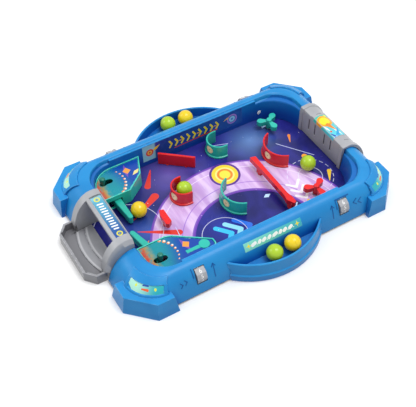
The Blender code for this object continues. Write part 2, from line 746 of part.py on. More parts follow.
def badge_panel(side, end):
    """Curved panel that follows the slope of the corner, with a recess for its label."""
    wall = outer_wall_sections()
    edge = BADGE_BORDER_SHARE / 8
    steps = 7
    inner = 1.0 - 2 * BADGE_BORDER_SHARE
    shares = [0.0, edge, BADGE_BORDER_SHARE - edge]
    shares += [BADGE_BORDER_SHARE + inner * i / steps for i in range(steps + 1)]
    shares += [1.0 - BADGE_BORDER_SHARE + edge, 1.0 - edge, 1.0]
    bm = bmesh.new()
    grid = []
    floor = []
    rows = len(BADGE_ROW_SHARES)
    for k in range(rows):
        drop = k / (rows - 1)
        start, stop = [
            math.radians(top + drop * (foot - top))
            for top, foot in zip(BADGE_TOP_ANGLES, BADGE_FOOT_ANGLES)
        ]
        angles = [start + share * (stop - start) for share in shares]
        raised = GAP + BADGE_RAISE * BADGE_RAISE_SHARES[k]
        levels = []
        for offset in (GAP, raised, raised - BADGE_RECESS):
            section = section_at(offset_sections(wall, offset), BADGE_ROW_SHARES[k])
            levels.append(badge_points(section, angles, side, end))
        bed, top, deep = levels
        in_label = BADGE_LABEL_ROWS[0] <= k <= BADGE_LABEL_ROWS[1]
        line = []
        last = len(angles) - 1
        for i in range(last + 1):
            point = deep[i] if in_label and 3 <= i <= last - 3 else top[i]
            if i in (0, last):
                point = bed[i].lerp(top[i], BADGE_RAISE_SHARES[0])
            line.append(bm.verts.new(point))
        grid.append(line)
        floor.append([bm.verts.new(point) for point in bed])
    for k in range(rows - 1):
        for i in range(last):
            bm.faces.new((grid[k][i], grid[k][i + 1], grid[k + 1][i + 1], grid[k + 1][i]))
            bm.faces.new((floor[k][i + 1], floor[k][i], floor[k + 1][i], floor[k + 1][i + 1]))
        bm.faces.new((grid[k][0], grid[k + 1][0], floor[k + 1][0], floor[k][0]))
        bm.faces.new((grid[k + 1][last], grid[k][last], floor[k][last], floor[k + 1][last]))
    for i in range(last):
        bm.faces.new((grid[0][i + 1], grid[0][i], floor[0][i], floor[0][i + 1]))
        bm.faces.new((grid[-1][i], grid[-1][i + 1], floor[-1][i + 1], floor[-1][i]))
    return bm


def make_feet(material, envelope):
    """Four feet with one outline, mirrored from the right front corner to the others."""
    for side_name, side in (("right", 1.0), ("left", -1.0)):
        for end_name, end in (("front", 1.0), ("back", -1.0)):
            flip = Matrix.Translation((0.0, FOOT_MIDDLE_Y * (1 - end), 0.0))
            flip = flip @ Matrix.Diagonal((side, end, 1.0, 1.0))
            bm = bmesh.new()
            levels = ((0.0, 0.0), (1.0, FOOT_HEIGHT))
            loft(bm, [level(foot_outline(draft), height) for draft, height in levels])
            bmesh.ops.transform(bm, matrix=flip, verts=bm.verts)
            foot = finish_object(f"corner_foot_{side_name}_{end_name}", bm, material)
            combine(foot, envelope, "DIFFERENCE")
            panel = finish_object(f"badge_{side_name}_{end_name}", badge_panel(side, end))
            combine(foot, panel, "UNION")


# Side pockets.


def segment_outline(radius, chord_x, steps=22):
    """The part of the pocket's circle outside a line along Y."""
    centre_x = OVERALL_WIDTH / 2 - POCKET_RADIUS
    half = math.acos((chord_x - centre_x) / radius)
    points = []
    for i in range(steps + 1):
        angle = -half + 2 * half * i / steps
        points.append((centre_x + radius * math.cos(angle), POCKET_CENTRE_Y + radius * math.sin(angle)))
    return points


def make_pockets(material, envelope):
    """Crescent trays against the side walls: stepped skirt, thin rim, raised floor."""
    chord = WALL_SIDE_X - SIDE_WALL_DEPTH / 3
    step_top = POCKET_STEP_HEIGHT + POCKET_STEP
    rim = POCKET_RADIUS - POCKET_STEP - POCKET_DRAFT
    edge = POCKET_WALL / 4
    outside = (
        (POCKET_RADIUS, POCKET_LIFT),
        (POCKET_RADIUS, POCKET_STEP_HEIGHT),
        (POCKET_RADIUS - POCKET_STEP, step_top),
        (rim, POCKET_HEIGHT - edge),
        (rim - edge, POCKET_HEIGHT),
    )
    well = (
        (rim - POCKET_WALL - POCKET_DRAFT, POCKET_FLOOR),
        (rim - POCKET_WALL, POCKET_HEIGHT - edge),
        (rim - POCKET_WALL + 2 * edge, POCKET_HEIGHT + edge),
    )
    under = (
        (POCKET_RADIUS - POCKET_WALL, POCKET_LIFT - OVERRUN),
        (POCKET_RADIUS - POCKET_WALL, POCKET_STEP_HEIGHT - edge),
        (rim - POCKET_WALL, POCKET_FLOOR - POCKET_WALL),
    )
    for side_name, side in (("right", 1.0), ("left", -1.0)):
        flip = Matrix.Diagonal((side, 1.0, 1.0, 1.0))
        solids = []
        for profile, line in ((outside, chord), (well, chord - OVERRUN), (under, chord - OVERRUN)):
            bm = bmesh.new()
            loft(bm, [level(segment_outline(radius, line), height) for radius, height in profile])
            bmesh.ops.transform(bm, matrix=flip, verts=bm.verts)
            solids.append(bm)
        pocket = finish_object(f"side_pocket_{side_name}", solids[0], material)
        combine(pocket, finish_object(f"pocket_well_{side_name}", solids[1]), "DIFFERENCE")
        combine(pocket, finish_object(f"pocket_under_{side_name}", solids[2]), "DIFFERENCE")
        combine(pocket, envelope, "DIFFERENCE")


# Score drums and the brackets that carry them.


def make_drums(drum_material, bracket_material):
    """A ten-sided drum with a stub shaft at each end, in the eyes of a bracket."""
    half = DRUM_WIDTH / 2
    stub_end = half + GAP + DRUM_STUB_LENGTH
    profile = (
        (DRUM_STUB_RADIUS, -stub_end),
        (DRUM_STUB_RADIUS, -half),
        (DRUM_RADIUS, -half),
        (DRUM_RADIUS, half),
        (DRUM_STUB_RADIUS, half),
        (DRUM_STUB_RADIUS, stub_end),
    )
    slope = math.radians(DRUM_FACE_TILT)
    corner = math.radians(BRACKET_EYE_ANGLE)
    steps = 4
    for name, side, y in drum_centres():
        place = (side * DRUM_AXIS_X, y, DRUM_AXIS_HEIGHT)
        bm = bmesh.new()
        turned_across(bm, profile, DRUM_SIDES, slope + math.pi / DRUM_SIDES)
        bmesh.ops.scale(bm, vec=(side, 1.0, 1.0), verts=bm.verts)
        drum = finish_object(f"score_drum_{name}", bm, drum_material)
        drum.location = place

        # The bracket stands on the base cover, its two plates beside the drum.
        foot = BASE_TOP + GAP - DRUM_AXIS_HEIGHT
        plate_end = half + GAP + BRACKET_PLATE
        outline = [(-BRACKET_HALF_LENGTH, foot), (BRACKET_HALF_LENGTH, foot)]
        for i in range(steps + 1):
            angle = corner + (math.pi - 2 * corner) * i / steps
            outline.append((BRACKET_EYE * math.cos(angle), BRACKET_EYE * math.sin(angle)))
        bm = bmesh.new()
        rings = [[Vector((x, end, z)) for x, z in outline] for end in (-plate_end, plate_end)]
        loft(bm, rings)
        bracket = finish_object(f"drum_bracket_{name}", bm, bracket_material)
        bracket.location = place
        bm = bmesh.new()
        low = (-DRUM_RADIUS, -half - GAP, foot + BRACKET_PLATE)
        box(bm, low, (DRUM_RADIUS, half + GAP, DRUM_RADIUS))
        channel = finish_object(f"bracket_channel_{name}", bm)
        bm = bmesh.new()
        bore = ((DRUM_STUB_RADIUS + GAP, -plate_end - OVERRUN), (DRUM_STUB_RADIUS + GAP, plate_end + OVERRUN))
        turned_across(bm, bore, SMALL_SIDES)
        eye = finish_object(f"bracket_eye_{name}", bm)
        for tool in (channel, eye):
            tool.location = place
            combine(bracket, tool, "DIFFERENCE")


# Ball return: arch, chute and tray.


def cheek_outline(lower=0.0):
    """Side view of the arch in (Y, Z): back edge, crown, then down to the tray."""
    points = [(ARCH_BACK_Y, BASE_TOP + GAP)]
    foot = TRAY_HEIGHT + GAP
    for run, rise in zip(CHEEK_RUN_SHARES, CHEEK_RISE_SHARES):
        y = ARCH_BACK_Y + run * (ARCH_FRONT_Y - ARCH_BACK_Y)
        turn = min(run / CHEEK_TURN_SHARE, 1.0)
        points.append((y + lower * turn, foot + rise * (OVERALL_HEIGHT - lower - foot)))
    neck = ARCH_FRONT_Y + TRAY_WALL + GAP
    points.append((neck + lower, foot))
    points.append((neck + lower, BASE_TOP + GAP))
    return points


def make_arch(material):
    """Two curved cheeks joined by the label bar over the ball exit, moulded as one."""
    edge = ARCH_HALF_WIDTH
    flare = ARCH_HALF_WIDTH + ARCH_FLARE
    bm = bmesh.new()
    rings = []
    for x, lower in ((-flare, ARCH_FLARE_DROP), (-edge, 0.0), (edge, 0.0), (flare, ARCH_FLARE_DROP)):
        rings.append([Vector((x, y, z)) for y, z in cheek_outline(lower)])
    loft(bm, rings)
    arch = finish_object("return_arch", bm, material)

    top = OVERALL_HEIGHT - BAR_DROP
    bar_front = ARCH_BACK_Y - BAR_LENGTH
    tunnel = (
        (ARCH_BACK_Y + OVERRUN, -OVERRUN),
        (ARCH_BACK_Y + OVERRUN, top - BAR_THICKNESS),
        (bar_front, top - BAR_THICKNESS),
        (bar_front, OVERALL_HEIGHT + OVERRUN),
        (TRAY_FRONT_Y, OVERALL_HEIGHT + OVERRUN),
        (TRAY_FRONT_Y, -OVERRUN),
    )
    bm = bmesh.new()
    slab_across(bm, tunnel, -CHUTE_HALF_WIDTH, CHUTE_HALF_WIDTH)
    combine(arch, finish_object("arch_tunnel", bm), "DIFFERENCE")

    # Above the bar the cheeks stand proud; the label lies in a shallow bed behind its lip.
    bm = bmesh.new()
    low = (-CHUTE_HALF_WIDTH, bar_front - OVERRUN, top)
    box(bm, low, (CHUTE_HALF_WIDTH, ARCH_BACK_Y + OVERRUN, OVERALL_HEIGHT + OVERRUN))
    combine(arch, finish_object("bar_top", bm), "DIFFERENCE")
    bm = bmesh.new()
    low = (GAP - CHUTE_HALF_WIDTH, bar_front + BAR_LIP, top - LABEL_RECESS)
    box(bm, low, (CHUTE_HALF_WIDTH - GAP, ARCH_BACK_Y - BAR_LIP / 4, top + OVERRUN))
    combine(arch, finish_object("label_bed", bm), "DIFFERENCE")


def tray_outline(wall):
    """Octagonal front of the tray, and its straight sides back to the arch."""
    half = TRAY_HALF_WIDTH - wall
    front = TRAY_FRONT_Y + wall
    slope = math.atan2(TRAY_CHAMFER_Y, TRAY_CHAMFER_X)
    corner_x = TRAY_HALF_WIDTH - TRAY_CHAMFER_X - wall * math.tan(slope / 2)
    corner_y = TRAY_FRONT_Y + TRAY_CHAMFER_Y + wall * math.tan(math.pi / 4 - slope / 2)
    back = ARCH_FRONT_Y + TRAY_WALL
    return [
        (-half, corner_y),
        (-corner_x, front),
        (corner_x, front),
        (half, corner_y),
        (half, back),
        (CHUTE_HALF_WIDTH - GAP, back),
        (CHUTE_HALF_WIDTH - GAP, CHUTE_BACK_Y - GAP),
        (GAP - CHUTE_HALF_WIDTH, CHUTE_BACK_Y - GAP),
        (GAP - CHUTE_HALF_WIDTH, back),
        (-half, back),
    ]


def step_cutter(name, front_y, floor):
    """Everything in front of a curved step and above its lower floor."""
    half = CHUTE_HALF_WIDTH - GAP
    points = [(-half, TRAY_FRONT_Y + TRAY_WALL), (half, TRAY_FRONT_Y + TRAY_WALL)]
    steps = 12
    for i in range(steps + 1):
        x = half - 2 * half * i / steps
        points.append((x, front_y + CHUTE_STEP_RADIUS - math.sqrt(CHUTE_STEP_RADIUS**2 - x**2)))
    bm = bmesh.new()
    prism(bm, points, floor, TRAY_HEIGHT + OVERRUN)
    return finish_object(name, bm)


def make_tray(material):
    """Tray with upright walls, a flat floor and a chute that comes down in curved steps."""
    bm = bmesh.new()
    prism(bm, tray_outline(0.0), 0.0, TRAY_HEIGHT)
    tray = finish_object("return_tray", bm, material)

    chute_top = BOARD_TOP - GAP
    outline = tray_outline(TRAY_WALL)
    outline[4:10] = [
        (outline[3][0], ARCH_FRONT_Y),
        (CHUTE_HALF_WIDTH + OVERRUN, ARCH_FRONT_Y),
        (CHUTE_HALF_WIDTH + OVERRUN, CHUTE_BACK_Y + OVERRUN),
        (-CHUTE_HALF_WIDTH - OVERRUN, CHUTE_BACK_Y + OVERRUN),
        (-CHUTE_HALF_WIDTH - OVERRUN, ARCH_FRONT_Y),
        (outline[0][0], ARCH_FRONT_Y),
    ]
    bm = bmesh.new()
    prism(bm, outline, chute_top, TRAY_HEIGHT + OVERRUN)
    combine(tray, finish_object("tray_well", bm), "DIFFERENCE")
    first = step_cutter("chute_step_upper", ARCH_FRONT_Y + CHUTE_UPPER_STEP, chute_top - CHUTE_STEP)
    combine(tray, first, "DIFFERENCE")
    floor_line = ARCH_FRONT_Y - CHUTE_LOWER_STEP
    second = step_cutter("chute_step_lower", floor_line, TRAY_FLOOR)
    combine(tray, second, "DIFFERENCE")
    bm = bmesh.new()
    outline = tray_outline(TRAY_WALL)[:4]
    outline += [(outline[3][0], floor_line), (outline[0][0], floor_line)]
    prism(bm, outline, TRAY_FLOOR, TRAY_HEIGHT + OVERRUN)
    combine(tray, finish_object("tray_floor_well", bm), "DIFFERENCE")


# Back grip.


def grip_section(raise_by, lift):
    """Closed section of the saddle in (Y, Z): skin pushed out, and its top rows lifted."""
    wall = outer_wall_sections()
    skin = offset_sections(wall, GAP + GRIP_WALL + raise_by)
    bed = offset_sections(wall, GAP)
    face = PLAY_BACK_Y + GAP - raise_by
    points = [(face, SEAT)]
    points.append((face, FRAME_HEIGHT - FRAME_WALL))
    crown = FRAME_HEIGHT + GAP + GRIP_WALL * 2 / 3 + raise_by
    points.append((face + GRIP_WALL / 2, crown + lift))
    for i, section in enumerate(skin[1:-1]):
        points.append((PLAY_BACK_Y + section[2], section[5] + (lift if i < GRIP_PAD_ROWS else 0.0)))
    points.append((PLAY_BACK_Y + skin[-1][2], FRAME_BOTTOM))
    points.append((PLAY_BACK_Y + bed[-1][2], FRAME_BOTTOM))
    points += [(PLAY_BACK_Y + section[2], section[5]) for section in reversed(bed[1:-1])]
    shelf = PLAY_BACK_Y + GAP + GRIP_WALL
    points.append((shelf, FRAME_HEIGHT + GAP))
    points.append((shelf, SEAT))
    return points


def make_grip(material):
    """Grey saddle: collars at the ends, a raised pad on top, grooves down the front."""
    end = GRIP_HALF_LENGTH
    neck = end - GRIP_COLLAR_LENGTH
    pad = GRIP_PAD_HALF_LENGTH
    ramp = pad + GRIP_PAD_RAMP
    slant = neck - GRIP_COLLAR_RAISE / 2
    plan = (
        (-end, GRIP_COLLAR_RAISE, 0.0),
        (-neck, GRIP_COLLAR_RAISE, 0.0),
        (-slant, 0.0, 0.0),
        (-ramp, 0.0, 0.0),
        (-pad, 0.0, GRIP_PAD_RAISE),
        (pad, 0.0, GRIP_PAD_RAISE),
        (ramp, 0.0, 0.0),
        (slant, 0.0, 0.0),
        (neck, GRIP_COLLAR_RAISE, 0.0),
        (end, GRIP_COLLAR_RAISE, 0.0),
    )
    bm = bmesh.new()
    rings = []
    for x, collar, lift in plan:
        rings.append([Vector((x, y, z)) for y, z in grip_section(collar, lift)])
    loft(bm, rings)
    grip = finish_object("back_grip", bm, material)
    bm = bmesh.new()
    for share in GRIP_GROOVE_SHARES:
        x = share * GRIP_HALF_LENGTH
        half = GRIP_GROOVE_WIDTH / 2
        top = FRAME_HEIGHT - FRAME_WALL
        low = (x - half, PLAY_BACK_Y - OVERRUN, top - GRIP_GROOVE_LENGTH)
        box(bm, low, (x + half, PLAY_BACK_Y + GAP + GRIP_GROOVE_DEPTH, top))
    combine(grip, finish_object("grip_grooves", bm), "DIFFERENCE")


# Flipper housings, lids, flippers and their finger pegs.


def housing_outline(side, grow):
    """Plan of one housing, counter-clockwise; grow leans it out with the frame's wall."""
    wall_x = PLAY_HALF_WIDTH - GAP + grow
    front = PLAY_FRONT_Y + GAP - grow
    radius = PLAY_FRONT_RADIUS
    inner = HOUSING_HALF_GAP
    bend_y = PLAY_FRONT_Y + HOUSING_STRAIGHT
    points = [(inner, front)]
    steps = 6
    for i in range(steps + 1):
        angle = math.radians(-90.0 + 90.0 * i / steps)
        x = wall_x - radius + radius * math.cos(angle)
        points.append((x, front + radius + radius * math.sin(angle)))
    if side > 0:
        apex = PLAY_FRONT_Y + HOUSING_RIGHT_REACH
        points.append((wall_x, apex - HOUSING_RIGHT_CORNER))
        points.append((wall_x - HOUSING_RIGHT_CORNER, apex))
        points.append((wall_x - HOUSING_RIGHT_TOP, apex))
        points.append((inner + HOUSING_RIGHT_BEND[0], bend_y + HOUSING_RIGHT_BEND[1]))
    else:
        apex = PLAY_FRONT_Y + HOUSING_LEFT_REACH
        points.append((wall_x, apex))
        points.append((wall_x - HOUSING_LEFT_BEND[0], apex - HOUSING_LEFT_BEND[1]))
    points.append((inner, bend_y))
    if side < 0:
        points = [(-x, y) for x, y in reversed(points)]
    return points


def pivot(side):
    return Vector((side * PIVOT_X, PLAY_FRONT_Y + PIVOT_FROM_FRONT, 0.0))


def make_housing(side_name, side, material):
    """Upright walls with a ledge for the lid and a window for the flipper."""
    ledge = HOUSING_TOP - HOUSING_LEDGE_DROP
    lean = INNER_WALL_LEAN * INNER_LEAN_SHARES[1]
    levels = (
        (0.0, 0.0, SEAT),
        (0.0, 1.0, HOUSING_TOP),
        (HOUSING_WALL / 2, 1.0, HOUSING_TOP),
        (HOUSING_WALL / 2, 1.0, ledge),
        (HOUSING_WALL, 1.0, ledge),
        (HOUSING_WALL, 0.0, SEAT),
    )
    rings = [level(inset(housing_outline(side, share * lean), depth), z) for depth, share, z in levels]
    bm = bmesh.new()
    loft(bm, rings, loop=True)
    housing = finish_object(f"flipper_housing_{side_name}", bm, material)
    half = FLIPPER_HUB_RADIUS + math.sin(math.radians(FLIPPER_SWING)) * (PIVOT_X - HOUSING_HALF_GAP)
    centre_y = pivot(side).y - (PIVOT_X - HOUSING_HALF_GAP) * math.sin(math.radians(-FLIPPER_MID_ANGLE))
    window_top = SEAT + PIVOT_FLANGE_HEIGHT + GAP + FLIPPER_HEIGHT + WINDOW_SILL
    bm = bmesh.new()
    low_x, high_x = sorted((
        side * (HOUSING_HALF_GAP - OVERRUN),
        side * (HOUSING_HALF_GAP + HOUSING_WALL + OVERRUN / 2),
    ))
    box(bm, (low_x, centre_y - half, SEAT + WINDOW_SILL), (high_x, centre_y + half, window_top))
    combine(housing, finish_object(f"flipper_window_{side_name}", bm), "DIFFERENCE")
    return housing


def lever_heading(side):
    """Heading of the finger lever with the flipper in the middle of its swing."""
    blade = FLIPPER_MID_ANGLE if side < 0 else 180.0 - FLIPPER_MID_ANGLE
    return math.radians(blade + side * LEVER_BEND)


def arc_slot(bm, centre, heading, bottom, top):
    """Round-ended slot along the finger peg's path."""
    half_width = PEG_STEM_RADIUS + SLOT_CLEARANCE
    swing = math.radians(FLIPPER_SWING)
    points = []
    steps = 6
    end_steps = 4
    for radius, low, high in (
        (LEVER_LENGTH + half_width, -swing, swing),
        (LEVER_LENGTH - half_width, swing, -swing),
    ):
        for i in range(steps + 1):
            angle = heading + low + (high - low) * i / steps
            points.append((centre.x + radius * math.cos(angle), centre.y + radius * math.sin(angle)))
        end = heading + high
        middle = (centre.x + LEVER_LENGTH * math.cos(end), centre.y + LEVER_LENGTH * math.sin(end))
        turn = 1.0 if high > low else -1.0
        first = end if turn > 0 else end + math.pi
        for i in range(1, end_steps):
            angle = first + math.pi * i / end_steps
            reach = (half_width * math.cos(angle), half_width * math.sin(angle))
            points.append((middle[0] + reach[0], middle[1] + reach[1]))
    prism(bm, points, bottom, top)


def make_lid(side_name, side, material):
    """Flat lid on the housing's ledge, slotted for the finger peg."""
    bottom = HOUSING_TOP - HOUSING_LEDGE_DROP + GAP
    top = bottom + LID_THICKNESS
    lean = INNER_WALL_LEAN * INNER_LEAN_SHARES[1]
    bm = bmesh.new()
    prism(bm, inset(housing_outline(side, lean), HOUSING_WALL / 2 + GAP), bottom, top)
    lid = finish_object(f"housing_lid_{side_name}", bm, material)
    bm = bmesh.new()
    arc_slot(bm, pivot(side), lever_heading(side), bottom - OVERRUN, top + OVERRUN)
    combine(lid, finish_object(f"lid_slot_{side_name}", bm), "DIFFERENCE")
    if side > 0:
        # Raised round boss and bar at the far end of the right lid.
        x = PLAY_HALF_WIDTH - HOUSING_WALL - LID_BOSS_FROM_WALL
        y = PLAY_FRONT_Y + HOUSING_RIGHT_REACH - HOUSING_WALL - LID_BOSS_FROM_END
        root = top - LID_THICKNESS / 2
        bm = bmesh.new()
        turned(bm, (x, y), ((LID_BOSS_RADIUS, root), (LID_BOSS_RADIUS, top + LID_BOSS_RAISE)))
        boss = finish_object("lid_boss", bm)
        bm = bmesh.new()
        half = LID_BAR_WIDTH / 2
        low = (x - half, y - LID_BAR_LENGTH, root)
        box(bm, low, (x + half, y - LID_BOSS_RADIUS / 2, top + LID_BOSS_RAISE / 2))
        combine(lid, boss, "UNION")
        combine(lid, finish_object("lid_bar", bm), "UNION")


def make_flipper(side_name, side, blade_angle, material):
    """Tapered blade and bent finger lever on one hub; its origin is on the pivot."""
    bottom = SEAT + PIVOT_FLANGE_HEIGHT + GAP
    top = bottom + FLIPPER_HEIGHT
    heading = blade_angle if side < 0 else 180.0 - blade_angle
    tip = (FLIPPER_LENGTH - FLIPPER_TIP_RADIUS, 0.0)
    bm = bmesh.new()
    prism(bm, capsule((0.0, 0.0), FLIPPER_ROOT_RADIUS, tip, FLIPPER_TIP_RADIUS), bottom, top)
    flipper = finish_object(f"flipper_{side_name}", bm, material)
    round_edges(flipper, FLIPPER_EDGE)
    bm = bmesh.new()
    turned(bm, (0.0, 0.0), ((FLIPPER_HUB_RADIUS, bottom), (FLIPPER_HUB_RADIUS, top)))
    hub = finish_object(f"flipper_hub_{side_name}", bm)
    bend = math.radians(LEVER_BEND * side)
    pad = (LEVER_LENGTH * math.cos(bend), LEVER_LENGTH * math.sin(bend))
    bm = bmesh.new()
    lever_bottom = top - FLIPPER_HEIGHT / 2
    prism(bm, capsule((0.0, 0.0), LEVER_PAD_RADIUS + GAP, pad, LEVER_PAD_RADIUS), lever_bottom, top + GAP)
    lever = finish_object(f"flipper_lever_{side_name}", bm)
    bm = bmesh.new()
    bore = PIVOT_PIN_RADIUS + GAP
    turned(bm, (0.0, 0.0), ((bore, bottom - OVERRUN), (bore, top + OVERRUN)))
    spigot = PEG_SPIGOT_RADIUS + GAP
    turned(bm, pad, ((spigot, lever_bottom - OVERRUN), (spigot, top + OVERRUN)), SMALL_SIDES)
    bores = finish_object(f"flipper_bores_{side_name}", bm)
    for tool, operation in ((hub, "UNION"), (lever, "UNION"), (bores, "DIFFERENCE")):
        combine(flipper, tool, operation)
    for thing in (flipper, hub, lever, bores):
        thing.location = pivot(side)
        thing.rotation_euler = (0.0, 0.0, math.radians(heading))

    # Finger peg: a spigot in the lever's eye, a stem through the lid, a domed cap.
    crown = top + GAP + FINGER_PEG_HEIGHT
    profile = [
        (PEG_SPIGOT_RADIUS, lever_bottom),
        (PEG_SPIGOT_RADIUS, top + 2 * GAP),
        (PEG_STEM_RADIUS, top + 2 * GAP),
        (PEG_STEM_RADIUS, crown - PEG_CAP_RADIUS * 2),
    ]
    profile += [(PEG_CAP_RADIUS * across, crown - PEG_CAP_RADIUS * below) for across, below in PEG_CAP_SHARES]
    bm = bmesh.new()
    turned(bm, pad, profile, SMALL_SIDES)
    peg = finish_object(f"finger_peg_{side_name}", bm, material)
    peg.location = pivot(side)
    peg.rotation_euler = (0.0, 0.0, math.radians(heading))


def make_pivot_pin(side_name, side, material):
    """Flanged pin on the board that the flipper's hub turns on."""
    top = HOUSING_TOP - HOUSING_LEDGE_DROP
    profile = (
        (PIVOT_FLANGE_RADIUS, SEAT),
        (PIVOT_FLANGE_RADIUS, SEAT + PIVOT_FLANGE_HEIGHT),
        (PIVOT_PIN_RADIUS, SEAT + PIVOT_FLANGE_HEIGHT),
        (PIVOT_PIN_RADIUS, top),
    )
    bm = bmesh.new()
    turned(bm, pivot(side), profile, SMALL_SIDES)
    finish_object(f"pivot_pin_{side_name}", bm, material)


# Bumpers, guide wall and rails.


def curved_bumper(name, centre, radius, half_angle, arm, material):
    """Thin upright wall bent to an arc open to the back, on a flange, with two pegs."""
    half = math.radians(half_angle)
    stations = []
    steps = 14
    for i in range(steps + 1):
        angle = -math.pi / 2 - half + 2 * half * i / steps
        stations.append((Vector(centre), angle, 0.0))
    if arm > 0:
        stations.insert(0, (Vector(centre), stations[0][1], arm))
        stations.append((Vector(centre), stations[-1][1], arm))
    edge = BUMPER_WALL / 4
    section = (
        (-BUMPER_WALL / 2, SEAT),
        (BUMPER_WALL / 2 + BUMPER_FLANGE, SEAT),
        (BUMPER_WALL / 2 + BUMPER_FLANGE, SEAT + BUMPER_FLANGE_HEIGHT),
        (BUMPER_WALL / 2, SEAT + BUMPER_FLANGE_HEIGHT + BUMPER_FILLET),
        (BUMPER_WALL / 2, SEAT + BUMPER_HEIGHT - edge),
        (BUMPER_WALL / 2 - edge, SEAT + BUMPER_HEIGHT),
        (edge - BUMPER_WALL / 2, SEAT + BUMPER_HEIGHT),
        (-BUMPER_WALL / 2, SEAT + BUMPER_HEIGHT - edge),
    )
    rings = []
    for middle, angle, lift in stations:
        outward = Vector((math.cos(angle), math.sin(angle)))
        ring = []
        for reach, height in section:
            point = middle + outward * (radius - BUMPER_WALL / 2 + reach)
            ring.append(Vector((point.x, point.y + lift, height)))
        rings.append(ring)
    bm = bmesh.new()
    loft(bm, rings)
    return finish_object(name, bm, material)


def add_pegs(thing, places):
    """Locating pegs under a board piece, in the board's holes."""
    bm = bmesh.new()
    for place in places:
        profile = ((PEG_RADIUS, SEAT - PEG_LENGTH), (PEG_RADIUS, SEAT + PEG_LENGTH / 4))
        turned(bm, place, profile, SMALL_SIDES)
    combine(thing, finish_object(f"pegs_of_{thing.name}", bm), "UNION")
    return list(places)


def bumper_pegs(centre, radius, spread):
    """Two peg places under the arc of a bumper."""
    reach = radius - PEG_RADIUS / 2
    places = []
    for sign in (-1.0, 1.0):
        angle = math.radians(-90.0 + sign * spread)
        places.append((centre[0] + reach * math.cos(angle), centre[1] + reach * math.sin(angle)))
    return places


def make_bumpers(teal, red):
    """Two cups and two wide arcs, one of each colour."""
    pegs = []
    cup = (CUP_RADIUS, CUP_HALF_ANGLE, CUP_ARM_LENGTH)
    wide = (WIDE_RADIUS, WIDE_HALF_ANGLE, 0.0)
    teal_cup = (TEAL_CUP_FROM_WALL - PLAY_HALF_WIDTH, PLAY_FRONT_Y + TEAL_CUP_Y_SHARE * PLAY_LENGTH)
    for name, place, (radius, half_angle, arm), material in (
        ("cup_bumper_teal", teal_cup, cup, teal),
        ("cup_bumper_red", on_board(*RED_CUP_SHARES), cup, red),
        ("wide_bumper_teal", on_board(*TEAL_WIDE_SHARES), wide, teal),
        ("wide_bumper_red", on_board(*RED_WIDE_SHARES), wide, red),
    ):
        bumper = curved_bumper(name, place, radius, half_angle, arm, material)
        pegs += add_pegs(bumper, bumper_pegs(place, radius, half_angle / 2))
    return pegs


def make_guide_wall(material):
    """Straight slanting wall from the left side of the frame into the playfield."""
    heading = math.radians(GUIDE_ANGLE)
    along = Vector((math.cos(heading), math.sin(heading)))
    across = Vector((-along.y, along.x)) * GUIDE_THICKNESS / 2
    start = Vector((GUIDE_FROM_WALL - PLAY_HALF_WIDTH, PLAY_FRONT_Y + GUIDE_Y_SHARE * PLAY_LENGTH))
    end = start + along * GUIDE_LENGTH
    corners = (start - across, end - across, end + across, start + across)
    bm = bmesh.new()
    prism(bm, [(point.x, point.y) for point in corners], SEAT, SEAT + GUIDE_HEIGHT)
    wall = finish_object("guide_wall", bm, material)
    round_edges(wall, GUIDE_THICKNESS / 6)
    places = [tuple(start + along * GUIDE_LENGTH * share) for share in GUIDE_PEG_SHARES]
    return add_pegs(wall, places)


def make_rails(material):
    """Long rail on two legs and short rail on one, raised so that only balls strike."""
    left, y = on_board(RAIL_END_SHARES[0], RAIL_Y_SHARE)
    length = (RAIL_END_SHARES[1] - RAIL_END_SHARES[0]) * PLAY_HALF_WIDTH
    half = RAIL_WIDTH / 2
    outline = [(left + along * length, y + across * half) for along, across in RAIL_OUTLINE_SHARES]
    bm = bmesh.new()
    prism(bm, outline, SEAT + RAIL_HEIGHT - RAIL_THICKNESS, SEAT + RAIL_HEIGHT)
    rail = finish_object("long_rail", bm, material)
    leg_top = SEAT + RAIL_HEIGHT - RAIL_THICKNESS / 2
    bm = bmesh.new()
    pegs = []
    for share in RAIL_LEG_SHARES:
        x = left + share * length
        pegs.append((x, y))
        low = (x - RAIL_LEG_LENGTH / 2, y - RAIL_LEG_WIDTH / 2, SEAT)
        box(bm, low, (x + RAIL_LEG_LENGTH / 2, y + RAIL_LEG_WIDTH / 2, leg_top))
    combine(rail, finish_object("rail_legs", bm), "UNION")
    add_pegs(rail, pegs)

    x, y = on_board(*SHORT_RAIL_SHARES)
    reach = SHORT_RAIL_LENGTH / 2
    half = SHORT_RAIL_WIDTH / 2
    outline = [(x + along * reach, y + across * half) for along, across in SHORT_RAIL_OUTLINE_SHARES]
    bm = bmesh.new()
    prism(bm, outline, SEAT + RAIL_HEIGHT - RAIL_THICKNESS, SEAT + RAIL_HEIGHT)
    short = finish_object("short_rail", bm, material)
    bm = bmesh.new()
    turned(bm, (x, y), ((SHORT_LEG_RADIUS, SEAT), (SHORT_LEG_RADIUS, leg_top)), SMALL_SIDES)
    combine(short, finish_object("short_rail_leg", bm), "UNION")
    return pegs + add_pegs(short, [(x, y)])


# Spinners.


